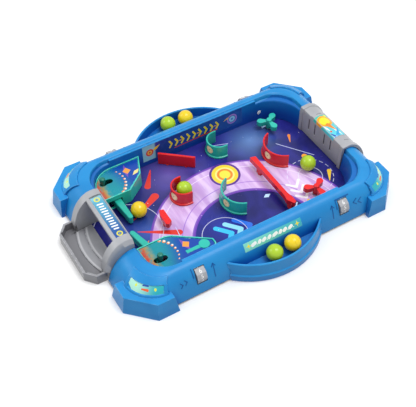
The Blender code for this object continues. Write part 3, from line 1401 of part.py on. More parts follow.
def star_outline():
    """Plan of all the blades: narrow necks at the hub that swell to round lobes."""
    steps = 9
    root = SPINNER_HUB_RADIUS * SPINNER_ROOT_SHARE
    petal = []
    for i in range(steps + 1):
        share = i / steps
        swell = math.sin(math.pi * share**SPINNER_SWELL_POWER)
        tip = math.sqrt(1.0 - share**SPINNER_TIP_POWER)
        half = (SPINNER_NECK_HALF + (SPINNER_LOBE_HALF - SPINNER_NECK_HALF) * swell) * tip
        petal.append((root + share * (SPINNER_REACH - root), half))
    petal = [(x, -w) for x, w in petal] + [(x, w) for x, w in reversed(petal[:-1])]
    points = []
    for i in range(SPINNER_BLADES):
        turn = math.radians(SPINNER_PHASE) + 2 * math.pi * i / SPINNER_BLADES
        cosine = math.cos(turn)
        sine = math.sin(turn)
        points += [(x * cosine - y * sine, x * sine + y * cosine) for x, y in petal]
    return points


def make_spinner(name, place, material, pin_material):
    """Three-bladed turnstile over its pin; the origin is on the axis."""
    foot = SEAT + SPINNER_FLANGE_HEIGHT + GAP
    top = foot + SPINNER_HEIGHT
    bm = bmesh.new()
    hub = (
        (SPINNER_HUB_RADIUS, foot),
        (SPINNER_HUB_RADIUS, top - SPINNER_CHAMFER),
        (SPINNER_HUB_RADIUS - SPINNER_CHAMFER, top),
    )
    turned(bm, (0.0, 0.0), hub, SMALL_SIDES)
    spinner = finish_object(name, bm, material)
    bm = bmesh.new()
    low = foot + SPINNER_BLADE_LIFT
    prism(bm, star_outline(), low, low + SPINNER_BLADE_HEIGHT)
    blades = finish_object(f"{name}_blades", bm)
    combine(spinner, blades, "UNION")
    bm = bmesh.new()
    bore = SPINNER_PIN_RADIUS + GAP
    turned(bm, (0.0, 0.0), ((bore, foot - OVERRUN), (bore, top - OVERRUN)), SMALL_SIDES)
    socket = finish_object(f"{name}_socket", bm)
    combine(spinner, socket, "DIFFERENCE")
    for thing in (spinner, blades, socket):
        thing.location = (*place, 0.0)

    profile = (
        (PEG_RADIUS, SEAT - PEG_LENGTH),
        (PEG_RADIUS, SEAT),
        (SPINNER_FLANGE_RADIUS, SEAT),
        (SPINNER_FLANGE_RADIUS, SEAT + SPINNER_FLANGE_HEIGHT),
        (SPINNER_PIN_RADIUS, SEAT + SPINNER_FLANGE_HEIGHT),
        (SPINNER_PIN_RADIUS, top - OVERRUN - GAP),
    )
    bm = bmesh.new()
    turned(bm, place, profile, SMALL_SIDES)
    finish_object(f"{name}_pin", bm, pin_material)


# Balls and screws.


def make_ball(name, centre, material):
    bm = bmesh.new()
    bmesh.ops.create_uvsphere(bm, u_segments=18, v_segments=11, radius=BALL_RADIUS)
    ball = finish_object(name, bm, material)
    ball.location = centre


def make_balls(green, yellow):
    """Two balls rest in each pocket, one in the red cup, two on the open board."""
    rolling = SEAT + BALL_RADIUS
    stored = POCKET_FLOOR + GAP + BALL_RADIUS
    track = POCKET_RADIUS - POCKET_STEP - POCKET_DRAFT * 2 - POCKET_WALL - BALL_RADIUS - GAP * 3
    centre_x = OVERALL_WIDTH / 2 - POCKET_RADIUS
    in_cup = Vector(on_board(*RED_CUP_SHARES)) + Vector(CUP_BALL_OFFSET)
    above_flipper = pivot(-1.0).y + FLIPPER_ROOT_RADIUS + 3 * GAP + BALL_RADIUS
    make_ball("ball_in_cup", (*in_cup, rolling), green)
    make_ball("ball_upper", (*on_board(*UPPER_BALL_SHARES), rolling), green)
    beside_middle = LOWER_BALL_GAP_SHARE * HOUSING_HALF_GAP
    make_ball("ball_lower", (beside_middle, above_flipper, rolling), yellow)
    balls = (("green", POCKET_BALL_SHARES[0], green), ("yellow", POCKET_BALL_SHARES[1], yellow))
    for side_name, side in (("right", 1.0), ("left", -1.0)):
        for ball_name, share, material in balls:
            y = share * BALL_RADIUS
            x = centre_x + math.sqrt(track**2 - y**2)
            place = (side * x, POCKET_CENTRE_Y + y, stored)
            make_ball(f"ball_{side_name}_{ball_name}", place, material)


def make_screws(material):
    """Pan-head screws up through the base cover into the frame's bosses."""
    head_top = BASE_LIFT - GAP
    profile = (
        (SCREW_HEAD_RADIUS - SCREW_HEAD_HEIGHT, head_top - SCREW_HEAD_HEIGHT / 2),
        (SCREW_HEAD_RADIUS, head_top - SCREW_HEAD_HEIGHT / 4),
        (SCREW_HEAD_RADIUS, head_top),
        (SCREW_SHANK_RADIUS, head_top),
        (SCREW_SHANK_RADIUS, head_top + SCREW_LENGTH),
    )
    for i, place in enumerate(boss_places()):
        bm = bmesh.new()
        turned(bm, place, profile, SMALL_SIDES)
        finish_object(f"base_screw_{i + 1}", bm, material)


def build():
    for thing in list(bpy.data.objects):
        bpy.data.objects.remove(thing, do_unlink=True)
    blue = make_material("blue_plastic", (0.036, 0.228, 0.604), 0.32)
    grey = make_material("grey_plastic", (0.290, 0.290, 0.310), 0.42)
    teal = make_material("teal_plastic", (0.020, 0.440, 0.330), 0.35)
    red = make_material("red_plastic", (0.560, 0.012, 0.014), 0.35)
    print_blue = make_material("printed_board", (0.030, 0.020, 0.220), 0.30)
    dark = make_material("black_plastic", (0.020, 0.020, 0.022), 0.50)
    steel = make_material("zinc_steel", (0.560, 0.560, 0.570), 0.35, 1.0)
    green_ball = make_material("green_ball", (0.360, 0.560, 0.020), 0.22)
    yellow_ball = make_material("yellow_ball", (0.800, 0.560, 0.010), 0.22)

    envelope = wall_envelope("wall_envelope", GAP)
    make_frame(blue)
    make_base(dark)
    make_feet(blue, envelope)
    make_pockets(blue, envelope)
    make_drums(grey, dark)
    make_arch(grey)
    make_tray(grey)
    make_grip(grey)
    for side_name, side, angle in (
        ("right", 1.0, RIGHT_REST_ANGLE),
        ("left", -1.0, LEFT_REST_ANGLE),
    ):
        make_housing(side_name, side, teal)
        make_lid(side_name, side, teal)
        make_flipper(side_name, side, angle, teal)
        make_pivot_pin(side_name, side, steel)
    pegs = make_bumpers(teal, red)
    pegs += make_guide_wall(red)
    pegs += make_rails(red)
    teal_place = (TEAL_SPINNER_FROM_WALL - PLAY_HALF_WIDTH, PLAY_BACK_Y - TEAL_SPINNER_FROM_BACK)
    red_y = PLAY_FRONT_Y + RED_SPINNER_Y_SHARE * PLAY_LENGTH
    red_place = (PLAY_HALF_WIDTH - RED_SPINNER_FROM_WALL, red_y)
    make_spinner("spinner_teal", teal_place, teal, steel)
    make_spinner("spinner_red", red_place, red, steel)
    pegs += (teal_place, red_place)
    make_board(print_blue, pegs)
    make_balls(green_ball, yellow_ball)
    make_screws(steel)


build()
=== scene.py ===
"""Looks of the tabletop pinball game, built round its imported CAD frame.

The script follows the toy as it is put together: frame, base, printed board, bumpers,
spinners, flippers, ball return, grip, score drums, printed films and balls, then the set.
Metres throughout; prints, marks and films are laid out in millimetres.
"""
import json
import math

import bpy
from mathutils import Matrix, Vector

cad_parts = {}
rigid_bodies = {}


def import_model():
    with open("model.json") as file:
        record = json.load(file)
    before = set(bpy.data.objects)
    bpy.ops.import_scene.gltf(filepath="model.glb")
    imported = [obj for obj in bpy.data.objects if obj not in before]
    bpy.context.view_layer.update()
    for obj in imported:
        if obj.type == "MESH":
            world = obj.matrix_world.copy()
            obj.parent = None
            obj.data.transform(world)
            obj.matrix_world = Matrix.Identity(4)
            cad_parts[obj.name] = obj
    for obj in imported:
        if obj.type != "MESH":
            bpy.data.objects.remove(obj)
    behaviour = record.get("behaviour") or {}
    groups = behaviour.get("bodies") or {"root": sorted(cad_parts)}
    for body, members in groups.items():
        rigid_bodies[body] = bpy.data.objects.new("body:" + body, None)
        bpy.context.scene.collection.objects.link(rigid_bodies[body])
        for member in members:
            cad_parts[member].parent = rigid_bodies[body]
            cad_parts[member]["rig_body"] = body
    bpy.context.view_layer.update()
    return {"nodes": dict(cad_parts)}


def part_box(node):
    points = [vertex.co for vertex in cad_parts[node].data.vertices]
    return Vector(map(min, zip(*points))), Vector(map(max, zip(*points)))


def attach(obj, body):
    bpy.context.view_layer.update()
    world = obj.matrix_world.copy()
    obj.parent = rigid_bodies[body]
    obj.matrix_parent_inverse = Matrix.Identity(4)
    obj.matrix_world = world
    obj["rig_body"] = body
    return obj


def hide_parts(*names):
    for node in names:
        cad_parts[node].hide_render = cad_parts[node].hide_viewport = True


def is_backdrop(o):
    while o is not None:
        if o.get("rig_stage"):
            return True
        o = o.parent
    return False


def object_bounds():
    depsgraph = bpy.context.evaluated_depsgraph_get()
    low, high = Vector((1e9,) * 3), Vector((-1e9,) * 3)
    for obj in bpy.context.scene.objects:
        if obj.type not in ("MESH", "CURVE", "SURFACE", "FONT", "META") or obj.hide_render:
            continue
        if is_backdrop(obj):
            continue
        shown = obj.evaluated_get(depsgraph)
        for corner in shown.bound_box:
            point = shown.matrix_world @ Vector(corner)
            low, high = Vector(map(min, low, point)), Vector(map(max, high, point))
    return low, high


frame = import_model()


# Frame shell, four corner feet and two side pockets.
# Injection-moulded ABS in one glossy mid blue. The feet clip round the corners of the
# shell, and the pockets hang on its long sides.

def paint(code):
    """A web colour code as the linear colour that a shader takes."""
    channels = []
    for start in (1, 3, 5):
        value = int(code[start:start + 2], 16) / 255
        if value <= 0.04045:
            channels.append(value / 12.92)
        else:
            channels.append(((value + 0.055) / 1.055) ** 2.4)
    return (*channels, 1.0)


def feed(tree, node, feeds):
    """Give inputs of a node a plain value each, or the socket that it comes from."""
    for key, value in (feeds or {}).items():
        if isinstance(value, bpy.types.NodeSocket):
            tree.links.new(value, node.inputs[key])
        else:
            node.inputs[key].default_value = value
    return node


def put(tree, kind, feeds=None, **choices):
    """Place one node with its choices and feeds."""
    node = tree.nodes.new("ShaderNode" + kind)
    for name, choice in choices.items():
        setattr(node, name, choice)
    return feed(tree, node, feeds)


def object_place(tree):
    """The place on the piece in metres."""
    return put(tree, "TexCoord").outputs["Object"]


def split(tree, vector):
    """The three parts of a place or a direction."""
    return put(tree, "SeparateXYZ", {0: vector}).outputs


def noise(tree, place, scale, detail, distortion=0.0, rough=0.5):
    """Soft noise as one value."""
    feeds = {"Vector": place, "Scale": scale, "Detail": detail, "Roughness": rough}
    return put(tree, "TexNoise", {**feeds, "Distortion": distortion}).outputs[0]


def upness(tree):
    """How far the surface faces up, from -1 to 1."""
    return split(tree, put(tree, "NewGeometry").outputs["Normal"])[2]


def reckon(tree, operation, *values):
    """One step of arithmetic on mask values."""
    return put(tree, "Math", dict(enumerate(values)), operation=operation).outputs[0]


def vector_step(tree, operation, *values):
    """One step of arithmetic on places; its second output is a length or a product."""
    return put(tree, "VectorMath", dict(enumerate(values)), operation=operation).outputs


def times(tree, first, second):
    """One mask value times another."""
    return reckon(tree, "MULTIPLY", first, second)


def remap(tree, value, low, high, new_low=0.0, new_high=1.0):
    """Fit a value from one range to another with soft ends."""
    feeds = {0: value, 1: low, 2: high, 3: new_low, 4: new_high}
    return put(tree, "MapRange", feeds, interpolation_type="SMOOTHSTEP").outputs[0]


def blend_colour(tree, mask, under, over):
    """Lay one colour over another where the mask says; either may be a web colour code."""
    under, over = (paint(ink) if isinstance(ink, str) else ink for ink in (under, over))
    return put(tree, "Mix", {0: mask, 6: under, 7: over}, data_type="RGBA").outputs[2]


def start_group(name, inputs, outputs):
    """An empty node group with named sockets: its tree, its inputs and its outputs."""
    tree = bpy.data.node_groups.new(name, "ShaderNodeTree")
    for label, kind, value in inputs:
        socket = tree.interface.new_socket(label, in_out="INPUT", socket_type="NodeSocket" + kind)
        socket.default_value = value
    for label in outputs:
        tree.interface.new_socket(label, in_out="OUTPUT", socket_type="NodeSocketFloat")
    return tree, tree.nodes.new("NodeGroupInput").outputs, tree.nodes.new("NodeGroupOutput").inputs


def use_group(tree, group, feeds=None):
    """Place a node group in a material."""
    node = tree.nodes.new("ShaderNodeGroup")
    node.node_tree = bpy.data.node_groups[group]
    return feed(tree, node, feeds).outputs


# Spark-eroded mould grain: a fine dimple, a slow flow mark and a mottle of the gloss.
tree, given, result = start_group(
    "moulded_grain",
    [("Grain Scale", "Float", 1500.0), ("Flow Scale", "Float", 28.0)],
    ["Height", "Flow", "Gloss"],
)
place = object_place(tree)
tree.links.new(noise(tree, place, given[0], 2.0), result[0])
flow = noise(tree, place, given[1], 3.0, 0.6)
tree.links.new(remap(tree, flow, 0.3, 0.7), result[1])
gloss = noise(tree, place, 160.0, 4.0)
tree.links.new(remap(tree, gloss, 0.3, 0.72), result[2])

# Edge rubbing and painted highlight: edges that hands and the box rub, and where light
# would catch them, broken up along their length.
tree, given, result = start_group(
    "edge_rub_and_highlight", [("Width", "Float", 0.0007), ("Breakup", "Float", 260.0)], ["Mask"]
)
rounded = put(tree, "Bevel", {"Radius": given[0]}, samples=6).outputs[0]
true_normal = put(tree, "NewGeometry").outputs["Normal"]
edge = remap(tree, vector_step(tree, "DOT_PRODUCT", rounded, true_normal)[1], 0.985, 0.86)
patches = noise(tree, object_place(tree), given[1], 3.0)
tree.links.new(times(tree, edge, remap(tree, patches, 0.38, 0.7)), result[0])

# Dust and finger film on what faces up, which dulls the gloss a little.
tree, given, result = start_group("settled_film", [("Scale", "Float", 45.0)], ["Mask"])
smear = noise(tree, object_place(tree), given[0], 6.0, rough=0.7)
upward = remap(tree, upness(tree), 0.35, 0.95)
tree.links.new(times(tree, upward, remap(tree, smear, 0.45, 0.75)), result[0])


def colour_of(tree):
    """What the base colour of a material comes from so far."""
    return tree.nodes["Principled BSDF"].inputs["Base Color"].links[0].from_socket


def colour_with(tree, picture):
    """Let the base colour of a material come from a picture."""
    tree.links.new(picture, tree.nodes["Principled BSDF"].inputs["Base Color"])


def finish_plastic(tree, colour, rough, worn_and_lit_colour, grain_depth=0.000008, wear_and_highlight=0.5, edge=0.0007):
    """Grain and film on any moulded or printed face, with edges paled partly by rubbing and
    partly as a painted highlight; colour is a socket or a value.
    """
    shader = tree.nodes["Principled BSDF"]
    mould = use_group(tree, "moulded_grain")
    rubbed_and_highlit = times(tree, use_group(tree, "edge_rub_and_highlight", {"Width": edge})[0], wear_and_highlight)
    film = use_group(tree, "settled_film")[0]
    colour_with(tree, blend_colour(tree, rubbed_and_highlit, colour, worn_and_lit_colour))
    dull = reckon(tree, "MULTIPLY_ADD", film, 0.06, rough)
    mottled = reckon(tree, "MULTIPLY_ADD", mould[2], 0.05, dull)
    scuffed = reckon(tree, "MULTIPLY_ADD", rubbed_and_highlit, 0.12, mottled)
    tree.links.new(scuffed, shader.inputs["Roughness"])
    bump = put(tree, "Bump", {"Strength": 0.3, "Distance": grain_depth, "Height": mould[0]})
    tree.links.new(bump.outputs[0], shader.inputs["Normal"])
    return shader


def new_material(name):
    """An empty material and its tree."""
    material = bpy.data.materials.new(name)
    material.use_nodes = True
    return material, material.node_tree


def moulded(name, colour, deep, hollow, worn_and_lit_colour, rough=0.3, wear_and_highlight=0.5, shine=0.5, edge=0.0007):
    """A self-coloured moulding: flow marks, painted shade in its hollows, and paler edges
    that are partly from rubbing and partly a painted highlight.
    """
    material, tree = new_material(name)
    flow = use_group(tree, "moulded_grain")[1]
    body = blend_colour(tree, flow, deep, colour)
    # Painted shade: the colour darkens towards the hollow colour where the surface is closed in.
    openness = put(tree, "AmbientOcclusion", {"Distance": 0.03}, samples=16).outputs["AO"]
    body = blend_colour(tree, remap(tree, openness, 0.85, 0.15), body, hollow)
    shader = finish_plastic(tree, body, rough, worn_and_lit_colour, wear_and_highlight=wear_and_highlight, edge=edge)
    shader.inputs["IOR"].default_value = 1.5
    shader.inputs["Specular IOR Level"].default_value = shine
    return material


def deselect():
    """Start an operator with nothing selected."""
    bpy.ops.object.select_all(action="DESELECT")


def work_in(mode):
    """Change between a piece's mesh and the whole piece."""
    bpy.ops.object.mode_set(mode=mode)


POINT_GAP = 0.000001
SHARP = math.radians(34.0)


def copy_node(node, name):
    """A copy of a CAD node with its doubled points joined, open for editing."""
    piece = bpy.data.objects.new(name, frame["nodes"][node].data.copy())
    bpy.context.scene.collection.objects.link(piece)
    deselect()
    piece.select_set(True)
    bpy.context.view_layer.objects.active = piece
    bpy.ops.mesh.customdata_custom_splitnormals_clear()
    work_in("EDIT")
    bpy.ops.mesh.select_all(action="SELECT")
    bpy.ops.mesh.remove_doubles(threshold=POINT_GAP)
    return piece


def apply_modifier(piece, kind, **settings):
    """Add one modifier with its settings and apply it."""
    modifier = piece.modifiers.new(kind.title(), kind)
    for name, value in settings.items():
        setattr(modifier, name, value)
    bpy.ops.object.modifier_apply(modifier=modifier.name)


def take_moulding(node, edge=0.0004, steps=2, merge=0.8, rework=None):
    """A joined copy of a CAD node with its edges rounded as the mould leaves them."""
    source = frame["nodes"][node]
    piece = copy_node(node, node + "_moulding")
    if merge:
        bpy.ops.mesh.dissolve_limited(angle_limit=math.radians(merge))
    work_in("OBJECT")
    if rework:
        rework(piece)
    bevel = {"width": edge, "segments": steps, "limit_method": "ANGLE", "angle_limit": SHARP}
    apply_modifier(piece, "BEVEL", **bevel)
    bpy.ops.object.shade_smooth_by_angle(angle=SHARP)
    apply_modifier(piece, "WEIGHTED_NORMAL", keep_sharp=True)
    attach(piece, source["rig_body"])
    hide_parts(node)
    return piece


def dress(piece, material):
    """Give a piece its one material."""
    piece.data.materials.clear()
    piece.data.materials.append(material)
    for face in piece.data.polygons:
        face.material_index = 0


# The pale edges of the blue are partly rubbing and partly a painted highlight on the rims.
blue = moulded("blue_abs", "#2290d4", "#1b86cb", "#0a55ae", "#92d0f4", 0.32, 0.55, 0.3, 0.0011)

# Painted shade and painted reflection of the dark board: the inner wall round the board is
# a deeper blue, darker towards the board.
frame_blue = blue.copy()
frame_blue.name = "frame_abs"
# Each pair says where the painted shade of the wall starts and where it is full, in metres.
WALL_ACROSS = (0.0772, 0.0764)
WALL_ALONG = (0.1268, 0.1246)
WALL_DEPTH = (0.034, 0.010)
BELOW_RIM = (0.0325, 0.0316)
WELL_MIDDLE = 0.010
tree = frame_blue.node_tree
parts = split(tree, object_place(tree))
middle = reckon(tree, "ABSOLUTE", reckon(tree, "SUBTRACT", parts[1], WELL_MIDDLE))
across = remap(tree, reckon(tree, "ABSOLUTE", parts[0]), *WALL_ACROSS)
inside = times(tree, across, remap(tree, middle, *WALL_ALONG))
depth = remap(tree, parts[2], *WALL_DEPTH)
wall_painted_shade = blend_colour(tree, depth, "#0f70c0", "#08409c")
painted_wall_shade_mask = times(tree, inside, remap(tree, parts[2], *BELOW_RIM))
colour_with(tree, blend_colour(tree, painted_wall_shade_mask, colour_of(tree), wall_painted_shade))

frame_moulding = take_moulding("frame_shell", 0.0005)
dress(frame_moulding, frame_blue)
for side in ("right", "left"):
    for end in ("front", "back"):
        dress(take_moulding(f"corner_foot_{side}_{end}", 0.0005), blue)
    dress(take_moulding(f"side_pocket_{side}", 0.0005), blue)


# Marks on the slopes beside the score windows, and the plug of the lace hole.
# The marks are thin raised lines of the same moulding, in a deeper blue as painted shade for
# their small shadows: a corner line round the window, an arrow and two small arrowheads.
# The plug is white polyethylene, pushed in from inside.

MM = 0.001


def fix_place():
    """Put a piece's own origin at the origin of the frame."""
    bpy.ops.object.transform_apply(location=True, rotation=True, scale=True)


def press_down(piece, surface, thick):
    """Lower a flat piece onto a moulding along its own Z axis and give it a thickness."""
    bpy.ops.object.transform_apply(location=False, rotation=False, scale=True)
    apply_modifier(
        piece, "SHRINKWRAP", target=surface, wrap_method="PROJECT", use_project_z=True,
        use_positive_direction=False, use_negative_direction=True, offset=0.00002,
    )
    apply_modifier(piece, "SOLIDIFY", thickness=thick * MM, offset=1.0)
    fix_place()
    bpy.ops.object.shade_smooth_by_angle(angle=math.radians(30))


def facing_turn(along, facing):
    """The turn that lays X along one direction and points Z at another."""
    normal = Vector(facing).normalized()
    across = normal.cross(Vector(along)).normalized()
    return Matrix((across.cross(normal), across, normal)).transposed().to_euler()


def lay_film(name, surface, centre, along, facing, size, cuts, thick=0.1):
    """A thin sheet pressed onto a moulding; centre, size and thickness in millimetres."""
    deselect()
    bpy.ops.mesh.primitive_grid_add(
        x_subdivisions=cuts[0], y_subdivisions=cuts[1], size=1.0,
        location=Vector(centre) * MM, rotation=facing_turn(along, facing),
    )
    film = bpy.context.object
    film.name = name
    film.scale = (size[0] * MM, size[1] * MM, 1.0)
    press_down(film, surface, thick)
    return film


def join_pieces(name, pieces):
    """Join like pieces into one mesh."""
    deselect()
    for piece in pieces:
        piece.select_set(True)
    bpy.context.view_layer.objects.active = pieces[0]
    if len(pieces) > 1:
        bpy.ops.object.join()
    pieces[0].name = name
    return pieces[0]


# Painted shade: the marks are a deeper blue than the frame for their small shadows.
mark_shade_blue = moulded("mark_abs_shaded", "#085ea6", "#07579c", "#083f80", "#2f86cc", 0.3, 0.3, 0.3)
MARK_WIDTH, MARK_THICK, MARK_X = 0.85, 0.3, 112
MARK_OVERRUN = 0.5
MARKS = {
    # strokes as places along the game and heights, in millimetres
    "front": (
        ((-83.4, 30.2), (-83.2, 22.4)),
        ((-97.6, 23.2), (-95.2, 20.8), (-97.4, 18.4)),
        ((-92.8, 24.4), (-90.4, 22.0), (-92.6, 19.6)),
        ((-63.0, 25.0), (-60.8, 27.6), (-58.8, 25.2)),
        ((-60.8, 27.4), (-60.8, 14.4)),
    ),
    "back": (
        ((101.4, 30.6), (85.0, 30.6), (84.8, 22.6)),
        ((109.2, 24.6), (105.0, 21.8), (109.0, 18.8)),
        ((115.0, 23.6), (110.8, 20.8), (114.8, 17.8)),
        ((81.8, 25.2), (79.4, 27.8), (77.4, 25.2)),
        ((79.4, 27.6), (79.4, 14.8)),
    ),
}
SIDES = (("right", 1), ("left", -1))
for end, strokes in MARKS.items():
    for side, sign in SIDES:
        lines = []
        for stroke in strokes:
            for start, stop in zip(stroke, stroke[1:]):
                run = Vector((0, stop[0] - start[0], stop[1] - start[1]))
                centre = (sign * MARK_X, (start[0] + stop[0]) / 2, (start[1] + stop[1]) / 2)
                size = (run.length + MARK_OVERRUN, MARK_WIDTH)
                lines.append(lay_film(
                    "line", frame_moulding, centre, run, (sign, 0, 0), size, (24, 2), MARK_THICK
                ))
        marks = join_pieces(f"slope_marks_{side}_{end}", lines)
        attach(marks, "game")
        dress(marks, mark_shade_blue)

plug_white = moulded("plug_pe", "#f7f8f8", "#f0f2f2", "#e4e8ea", "#ffffff", rough=0.4)
deselect()
PLUG_RADIUS, PLUG_DEPTH = 0.0029, 0.0007
PLUG_PLACE = (-0.0742, 0.102, 0.0152)
PLUG_LIP, PLUG_SLOPE, PLUG_DISH = 0.0007, 0.0004, 0.0002
bpy.ops.mesh.primitive_cylinder_add(
    vertices=40, radius=PLUG_RADIUS, depth=PLUG_DEPTH, location=PLUG_PLACE,
    rotation=(0, math.radians(90), 0),
)
plug = bpy.context.object
plug.name = "lace_hole_plug"
work_in("EDIT")
bpy.ops.mesh.select_all(action="DESELECT")
work_in("OBJECT")
for face in plug.data.polygons:
    face.select = abs(face.normal.z) > 0.9
work_in("EDIT")
bpy.ops.mesh.inset(thickness=PLUG_LIP)
bpy.ops.mesh.inset(thickness=PLUG_SLOPE, depth=-PLUG_DISH)
work_in("OBJECT")
fix_place()
apply_modifier(plug, "BEVEL", width=0.00012, segments=2)
bpy.ops.object.shade_smooth_by_angle(angle=math.radians(35))
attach(plug, "game")
dress(plug, plug_white)


# Base cover and its six screws.
# A flat dark grey polystyrene plate closes the frame from below; zinc-plated pan-head screws
# go up through it into the bosses of the frame.

black = moulded("black_styrene", "#4a4c52", "#3e4045", "#3a3c41", "#84868c", rough=0.5)
frame["nodes"]["base_cover"].data.materials[0] = black

zinc, tree = new_material("zinc_plate")
shader = tree.nodes["Principled BSDF"]
shader.inputs["Metallic"].default_value = 1.0
stain = noise(tree, object_place(tree), 900.0, 4.0)
colour_with(tree, blend_colour(tree, remap(tree, stain, 0.35, 0.7), "#8f9296", "#c3c6ca"))
tree.links.new(remap(tree, stain, 0.2, 0.8, 0.24, 0.46), shader.inputs["Roughness"])
turned_marks = put(tree, "Bump", {"Strength": 0.2, "Distance": 0.00002, "Height": stain})
tree.links.new(turned_marks.outputs[0], shader.inputs["Normal"])
for number in range(1, 7):
    frame["nodes"][f"base_screw_{number}"].data.materials[0] = zinc


# Playfield board with its printed picture.
# Hardboard under a glossy litho print: night colours with pale lanes, a ring target,
# arrows and thin white lines. The shapes are laid out in millimetres on the board.

def stamp_group(name, inputs, build):
    """A shape of the print as a mask; build turns the sockets into a distance in mm."""
    sockets = [("Place", "Vector", (0, 0, 0)), *inputs, ("Soft", "Float", 0.2)]
    tree, given, result = start_group(name, sockets, ["Mask"])
    distance = build(tree, given)
    soft = given["Soft"]
    tree.links.new(remap(tree, distance, soft, times(tree, soft, -1.0)), result[0])


def ring_distance(tree, given):
    """Distance outside a ring of a radius and half width; a disc is a ring of radius 0."""
    from_centre = vector_step(tree, "DISTANCE", given["Place"], given["Centre"])[1]
    off_line = reckon(tree, "ABSOLUTE", reckon(tree, "SUBTRACT", from_centre, given["Radius"]))
    return reckon(tree, "SUBTRACT", off_line, given["Half Width"])


def bar_distance(tree, given):
    """Distance outside a round-ended bar that may taper from its start to its end."""
    along = vector_step(tree, "SUBTRACT", given["End"], given["Start"])[0]
    reach = vector_step(tree, "SUBTRACT", given["Place"], given["Start"])[0]
    product = vector_step(tree, "DOT_PRODUCT", reach, along)[1]
    square = vector_step(tree, "DOT_PRODUCT", along, along)[1]
    share = put(tree, "Clamp", {0: reckon(tree, "DIVIDE", product, square)}).outputs[0]
    nearest = put(tree, "VectorMath", {0: along, "Scale": share}, operation="SCALE").outputs[0]
    off_line = vector_step(tree, "DISTANCE", reach, nearest)[1]
    feeds = {0: share, 1: 0.0, 2: 1.0, 3: given["Half Width"], 4: given["End Width"]}
    width = put(tree, "MapRange", feeds).outputs[0]
    return reckon(tree, "SUBTRACT", off_line, width)


def lozenge_distance(tree, given):
    """Distance outside a lozenge of two half diagonals."""
    offset = vector_step(tree, "SUBTRACT", given["Place"], given["Centre"])[0]
    feeds = {"Vector": offset, "Angle": given["Turn"]}
    turned = put(tree, "VectorRotate", feeds, rotation_type="Z_AXIS", invert=True).outputs[0]
    parts = split(tree, turned)
    size = split(tree, given["Size"])
    wide = reckon(tree, "DIVIDE", reckon(tree, "ABSOLUTE", parts[0]), size[0])
    tall = reckon(tree, "DIVIDE", reckon(tree, "ABSOLUTE", parts[1]), size[1])
    least = reckon(tree, "MINIMUM", size[0], size[1])
    beyond = reckon(tree, "SUBTRACT", reckon(tree, "ADD", wide, tall), 1.0)
    return times(tree, beyond, least)


CENTRE = ("Centre", "Vector", (0, 0, 0))
START = ("Start", "Vector", (0, 0, 0))
END = ("End", "Vector", (1, 0, 0))
SIZE = ("Size", "Vector", (1, 1, 0))
HALF_WIDTH = ("Half Width", "Float", 1.0)
END_WIDTH = ("End Width", "Float", 1.0)
stamp_group("print_ring", [CENTRE, ("Radius", "Float", 0.0), HALF_WIDTH], ring_distance)
stamp_group("print_bar", [START, END, HALF_WIDTH, END_WIDTH], bar_distance)
stamp_group("print_lozenge", [CENTRE, SIZE, ("Turn", "Float", 0.0)], lozenge_distance)


def flat_place(tree):
    """Object coordinates in millimetres, seen from above."""
    return vector_step(tree, "MULTIPLY", object_place(tree), (1000.0, 1000.0, 0.0))[0]


def ring(colour, centre, half_width, radius=0.0):
    """One ring of the print, in millimetres; a disc has no radius."""
    sizes = {"Centre": (*centre, 0.0), "Radius": radius, "Half Width": half_width}
    return "print_ring", colour, sizes


def bar(colour, start, end, half_width, end_width=None):
    """One round-ended bar, tapered where its end has a half width of its own."""
    ends = {"Start": (*start, 0.0), "End": (*end, 0.0)}
    end_width = half_width if end_width is None else end_width
    return "print_bar", colour, {**ends, "Half Width": half_width, "End Width": end_width}


def lozenge(colour, centre, size, turn):
    """One lozenge of two half diagonals, turned by an angle in radians."""
    sizes = {"Centre": (*centre, 0.0), "Size": (*size, 0.0), "Turn": turn}
    return "print_lozenge", colour, sizes


def chevron(colour, centre, reach, half, width, direction=0.0):
    """Two bars that meet in a point."""
    tip = (centre[0] + reach * math.cos(direction), centre[1] + reach * math.sin(direction))
    bars = []
    for turn in (0.5, -0.5):
        side = direction + turn * math.pi
        arm = (centre[0] + half * math.cos(side), centre[1] + half * math.sin(side))
        bars.append(bar(colour, arm, tip, width))
    return bars


def stamp(tree, picture, place, shape, strength=1.0, soft=0.2, within=None):
    """Print one shape over the picture so far and return the new picture."""
    group, colour, sizes = shape
    mask = use_group(tree, group, {"Place": place, "Soft": soft, **sizes})[0]
    if strength != 1.0:
        mask = times(tree, mask, strength)
    if within is not None:
        mask = times(tree, mask, within)
    return blend_colour(tree, mask, picture, colour)


def stamp_all(tree, picture, place, shapes, soft=0.2):
    """Print shapes one over another."""
    for shape in shapes:
        picture = stamp(tree, picture, place, shape, soft=soft)
    return picture


board_print, tree = new_material("board_print")
place = flat_place(tree)
cloud = noise(tree, place, 0.022, 5.0, 0.8)
picture = blend_colour(tree, remap(tree, cloud, 0.35, 0.68), "#171a66", "#2a2b8c")
GLOWS = (
    # colour, centre, half width, softness, strength
    ("#7a68c4", (-50, -30), 10, 42, 0.85),
    ("#7fb2f4", (-50, 74), 4, 40, 0.85),
    ("#3c72d0", (12, -84), 8, 36, 0.85),
    ("#1e1a72", (52, 104), 6, 40, 0.8),
    ("#2444c4", (46, -20), 6, 36, 0.75),
)
for colour, centre, half, soft, strength in GLOWS:
    picture = stamp(tree, picture, place, ring(colour, centre, half), strength, soft)
streak_place = vector_step(tree, "MULTIPLY", place, (0.012, 0.09, 0.0))[0]
streak = remap(tree, noise(tree, streak_place, 1.0, 4.0), 0.4, 0.62)
lane_shade = blend_colour(tree, streak, "#c49ddc", "#e2c8f2")
